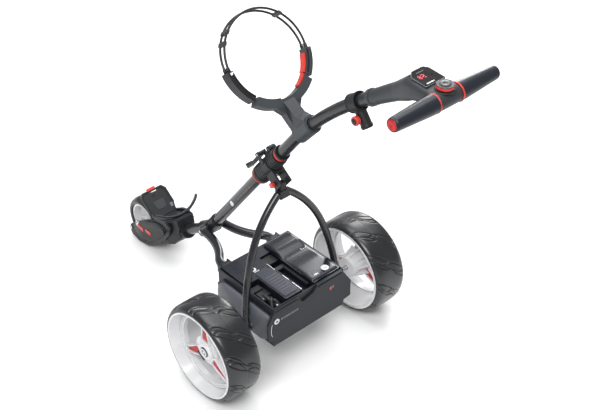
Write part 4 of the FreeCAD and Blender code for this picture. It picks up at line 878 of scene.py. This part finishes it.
REAR_FACE = Frame(P(0, REAR_FACE_Y, 0), X_AXIS, Z_AXIS)
disc("panel_badge", -112, 190, 8.2, REAR_FACE, WHITE, "power_unit", -0.3, 0.9)
disc("panel_badge_eye", -112, 190, 3.4, REAR_FACE, CASTING, "power_unit", 0.6, 1.15)
bars("panel_marks", [6, 4, 7, 5, 3, 6, 4, 6], -98, 187, 6.0, 2.2, REAR_FACE, DIM_MARK,
     "power_unit", 0.4)
bars("panel_red_mark", [7], 66, 189, 9.0, 1.5, REAR_FACE, RED, "power_unit", 0.4)
bars("panel_grey_mark", [5], 75, 191, 8.0, 1.5, REAR_FACE, DIM_MARK, "power_unit", 0.4)
prism("panel_lip", [(-116, 219), (-44, 219), (-44, 224), (-116, 224)], -0.2, 2.4, REAR_FACE, TRAY,
      "power_unit", edge=0.9)
prism("panel_lip_right", [(28, 220), (107, 220), (107, 225), (28, 225)], -0.2, 2.4, REAR_FACE, TRAY,
      "power_unit", edge=0.9)
for side, sign in (("left", -1), ("right", 1)):
    wall = Frame(P(sign * TRAY_WALL_X, 0, 0), Y_AXIS * sign, Z_AXIS)
    outline = [(sign * y, z) for y, z in ((-74, 150), (-58, 116), (112, 116), (130, 132), (130, 184),
                                          (108, 206), (-74, 206))]
    dome(side + "_fender", outline[::sign], ((1, -0.5), (0.985, 5), (0.93, 9.5), (0.8, 13), (0.5, 15.5),
                                             (0.2, 16)), wall, FENDER, "power_unit", 14)

# leads and plugs in the left well
leads = [
    [(-92, -50, 170), (-92, -50, 205), (-96, -40, 222), (-98, -22, 222), (-92, -8, 212)],
    [(-106, -66, 176), (-106, -64, 208), (-100, -50, 224), (-88, -36, 220), (-84, -18, 210)],
    [(-82, -66, 172), (-80, -62, 204), (-84, -46, 218), (-96, -30, 214), (-102, -10, 208)]]
for index, route in enumerate(leads):
    hose("lead_%d" % index, [P(*point) for point in route], 4.4, CORD, "power_unit")
for index, (low, high) in enumerate((((-110, -34, 200), (-96, -16, 224)), ((-94, -66, 196),
                                     (-78, -48, 216)), ((-112, 6, 206), (-78, 26, 222)))):
    box_piece("plug_%d" % index, low, high, WORLD, CASTING, "power_unit", 2.0)
bars("plug_mark", [4, 6], -108, -30, 5, 2, Frame(P(0, 0, 224), X_AXIS, Y_AXIS), DIM_MARK, "power_unit")
bars("plug_mark_low", [5], -92, -62, 3, 2, Frame(P(0, 0, 216), X_AXIS, Y_AXIS), MARK, "power_unit")
hose("silver_edge", [P(-128, -84.6, 188), P(-131, -85, 176), P(-131, -85, 160), P(-128, -84.6, 150)],
     1.1, STEEL, "power_unit")

# ------------------------------------------------------------------ stage, light and camera
floor_mesh = bpy.data.meshes.new("floor")
floor_work = bmesh.new()
FLOOR_HALF, FLOOR_STEPS = 14.0, 8
bmesh.ops.create_grid(floor_work, x_segments=FLOOR_STEPS, y_segments=FLOOR_STEPS, size=FLOOR_HALF)
floor_work.to_mesh(floor_mesh)
floor_work.free()
floor = bpy.data.objects.new("floor", floor_mesh)
bpy.context.scene.collection.objects.link(floor)
floor.location.z = -0.0002
floor.data.materials.append(surface("floor_pale", (0.86, 0.86, 0.86), 0.75, grain=40, bump=0.01,
                                    mottle=0.01, edge=0.0))

world = bpy.data.worlds.new("studio")
bpy.context.scene.world = world
world.use_nodes = True
world.node_tree.nodes["Background"].inputs["Color"].default_value = (0.98, 0.99, 1.0, 1)
world.node_tree.nodes["Background"].inputs["Strength"].default_value = 0.46
bpy.context.scene.view_settings.view_transform = "Standard"


def area_light(name, place, target, size, power):
    data = bpy.data.lights.new(name, "AREA")
    data.shape = "RECTANGLE"
    data.size, data.size_y = size
    data.energy = power
    lamp = bpy.data.objects.new(name, data)
    bpy.context.scene.collection.objects.link(lamp)
    lamp.location = place
    lamp.rotation_euler = (Vector(target) - Vector(place)).to_track_quat("-Z", "Y").to_euler()


area_light("key", (-1.6, -1.2, 2.6), (0, 0, 0.4), (1.6, 1.2), 74)
area_light("top", (0.4, 0.3, 3.0), (0, 0, 0.3), (2.6, 2.0), 66)
area_light("rim", (2.2, 1.4, 1.5), (0, 0, 0.4), (1.0, 1.8), 52)

camera_data = bpy.data.cameras.new("camera")
camera = bpy.data.objects.new("camera", camera_data)
bpy.context.scene.collection.objects.link(camera)
camera_data.sensor_width = 36.0
camera_data.lens = 70.84
right = Vector((0.7398, -0.6728, 0.0)).normalized()
ahead = Vector((0.5394, 0.5932, -0.5976)).normalized()
above = right.cross(ahead).normalized()
placement = Matrix((right, above, -ahead)).transposed().to_4x4()
placement.translation = Vector((-1.5352, -1.8438, 2.1804))
camera.matrix_world = placement
bpy.context.scene.camera = camera
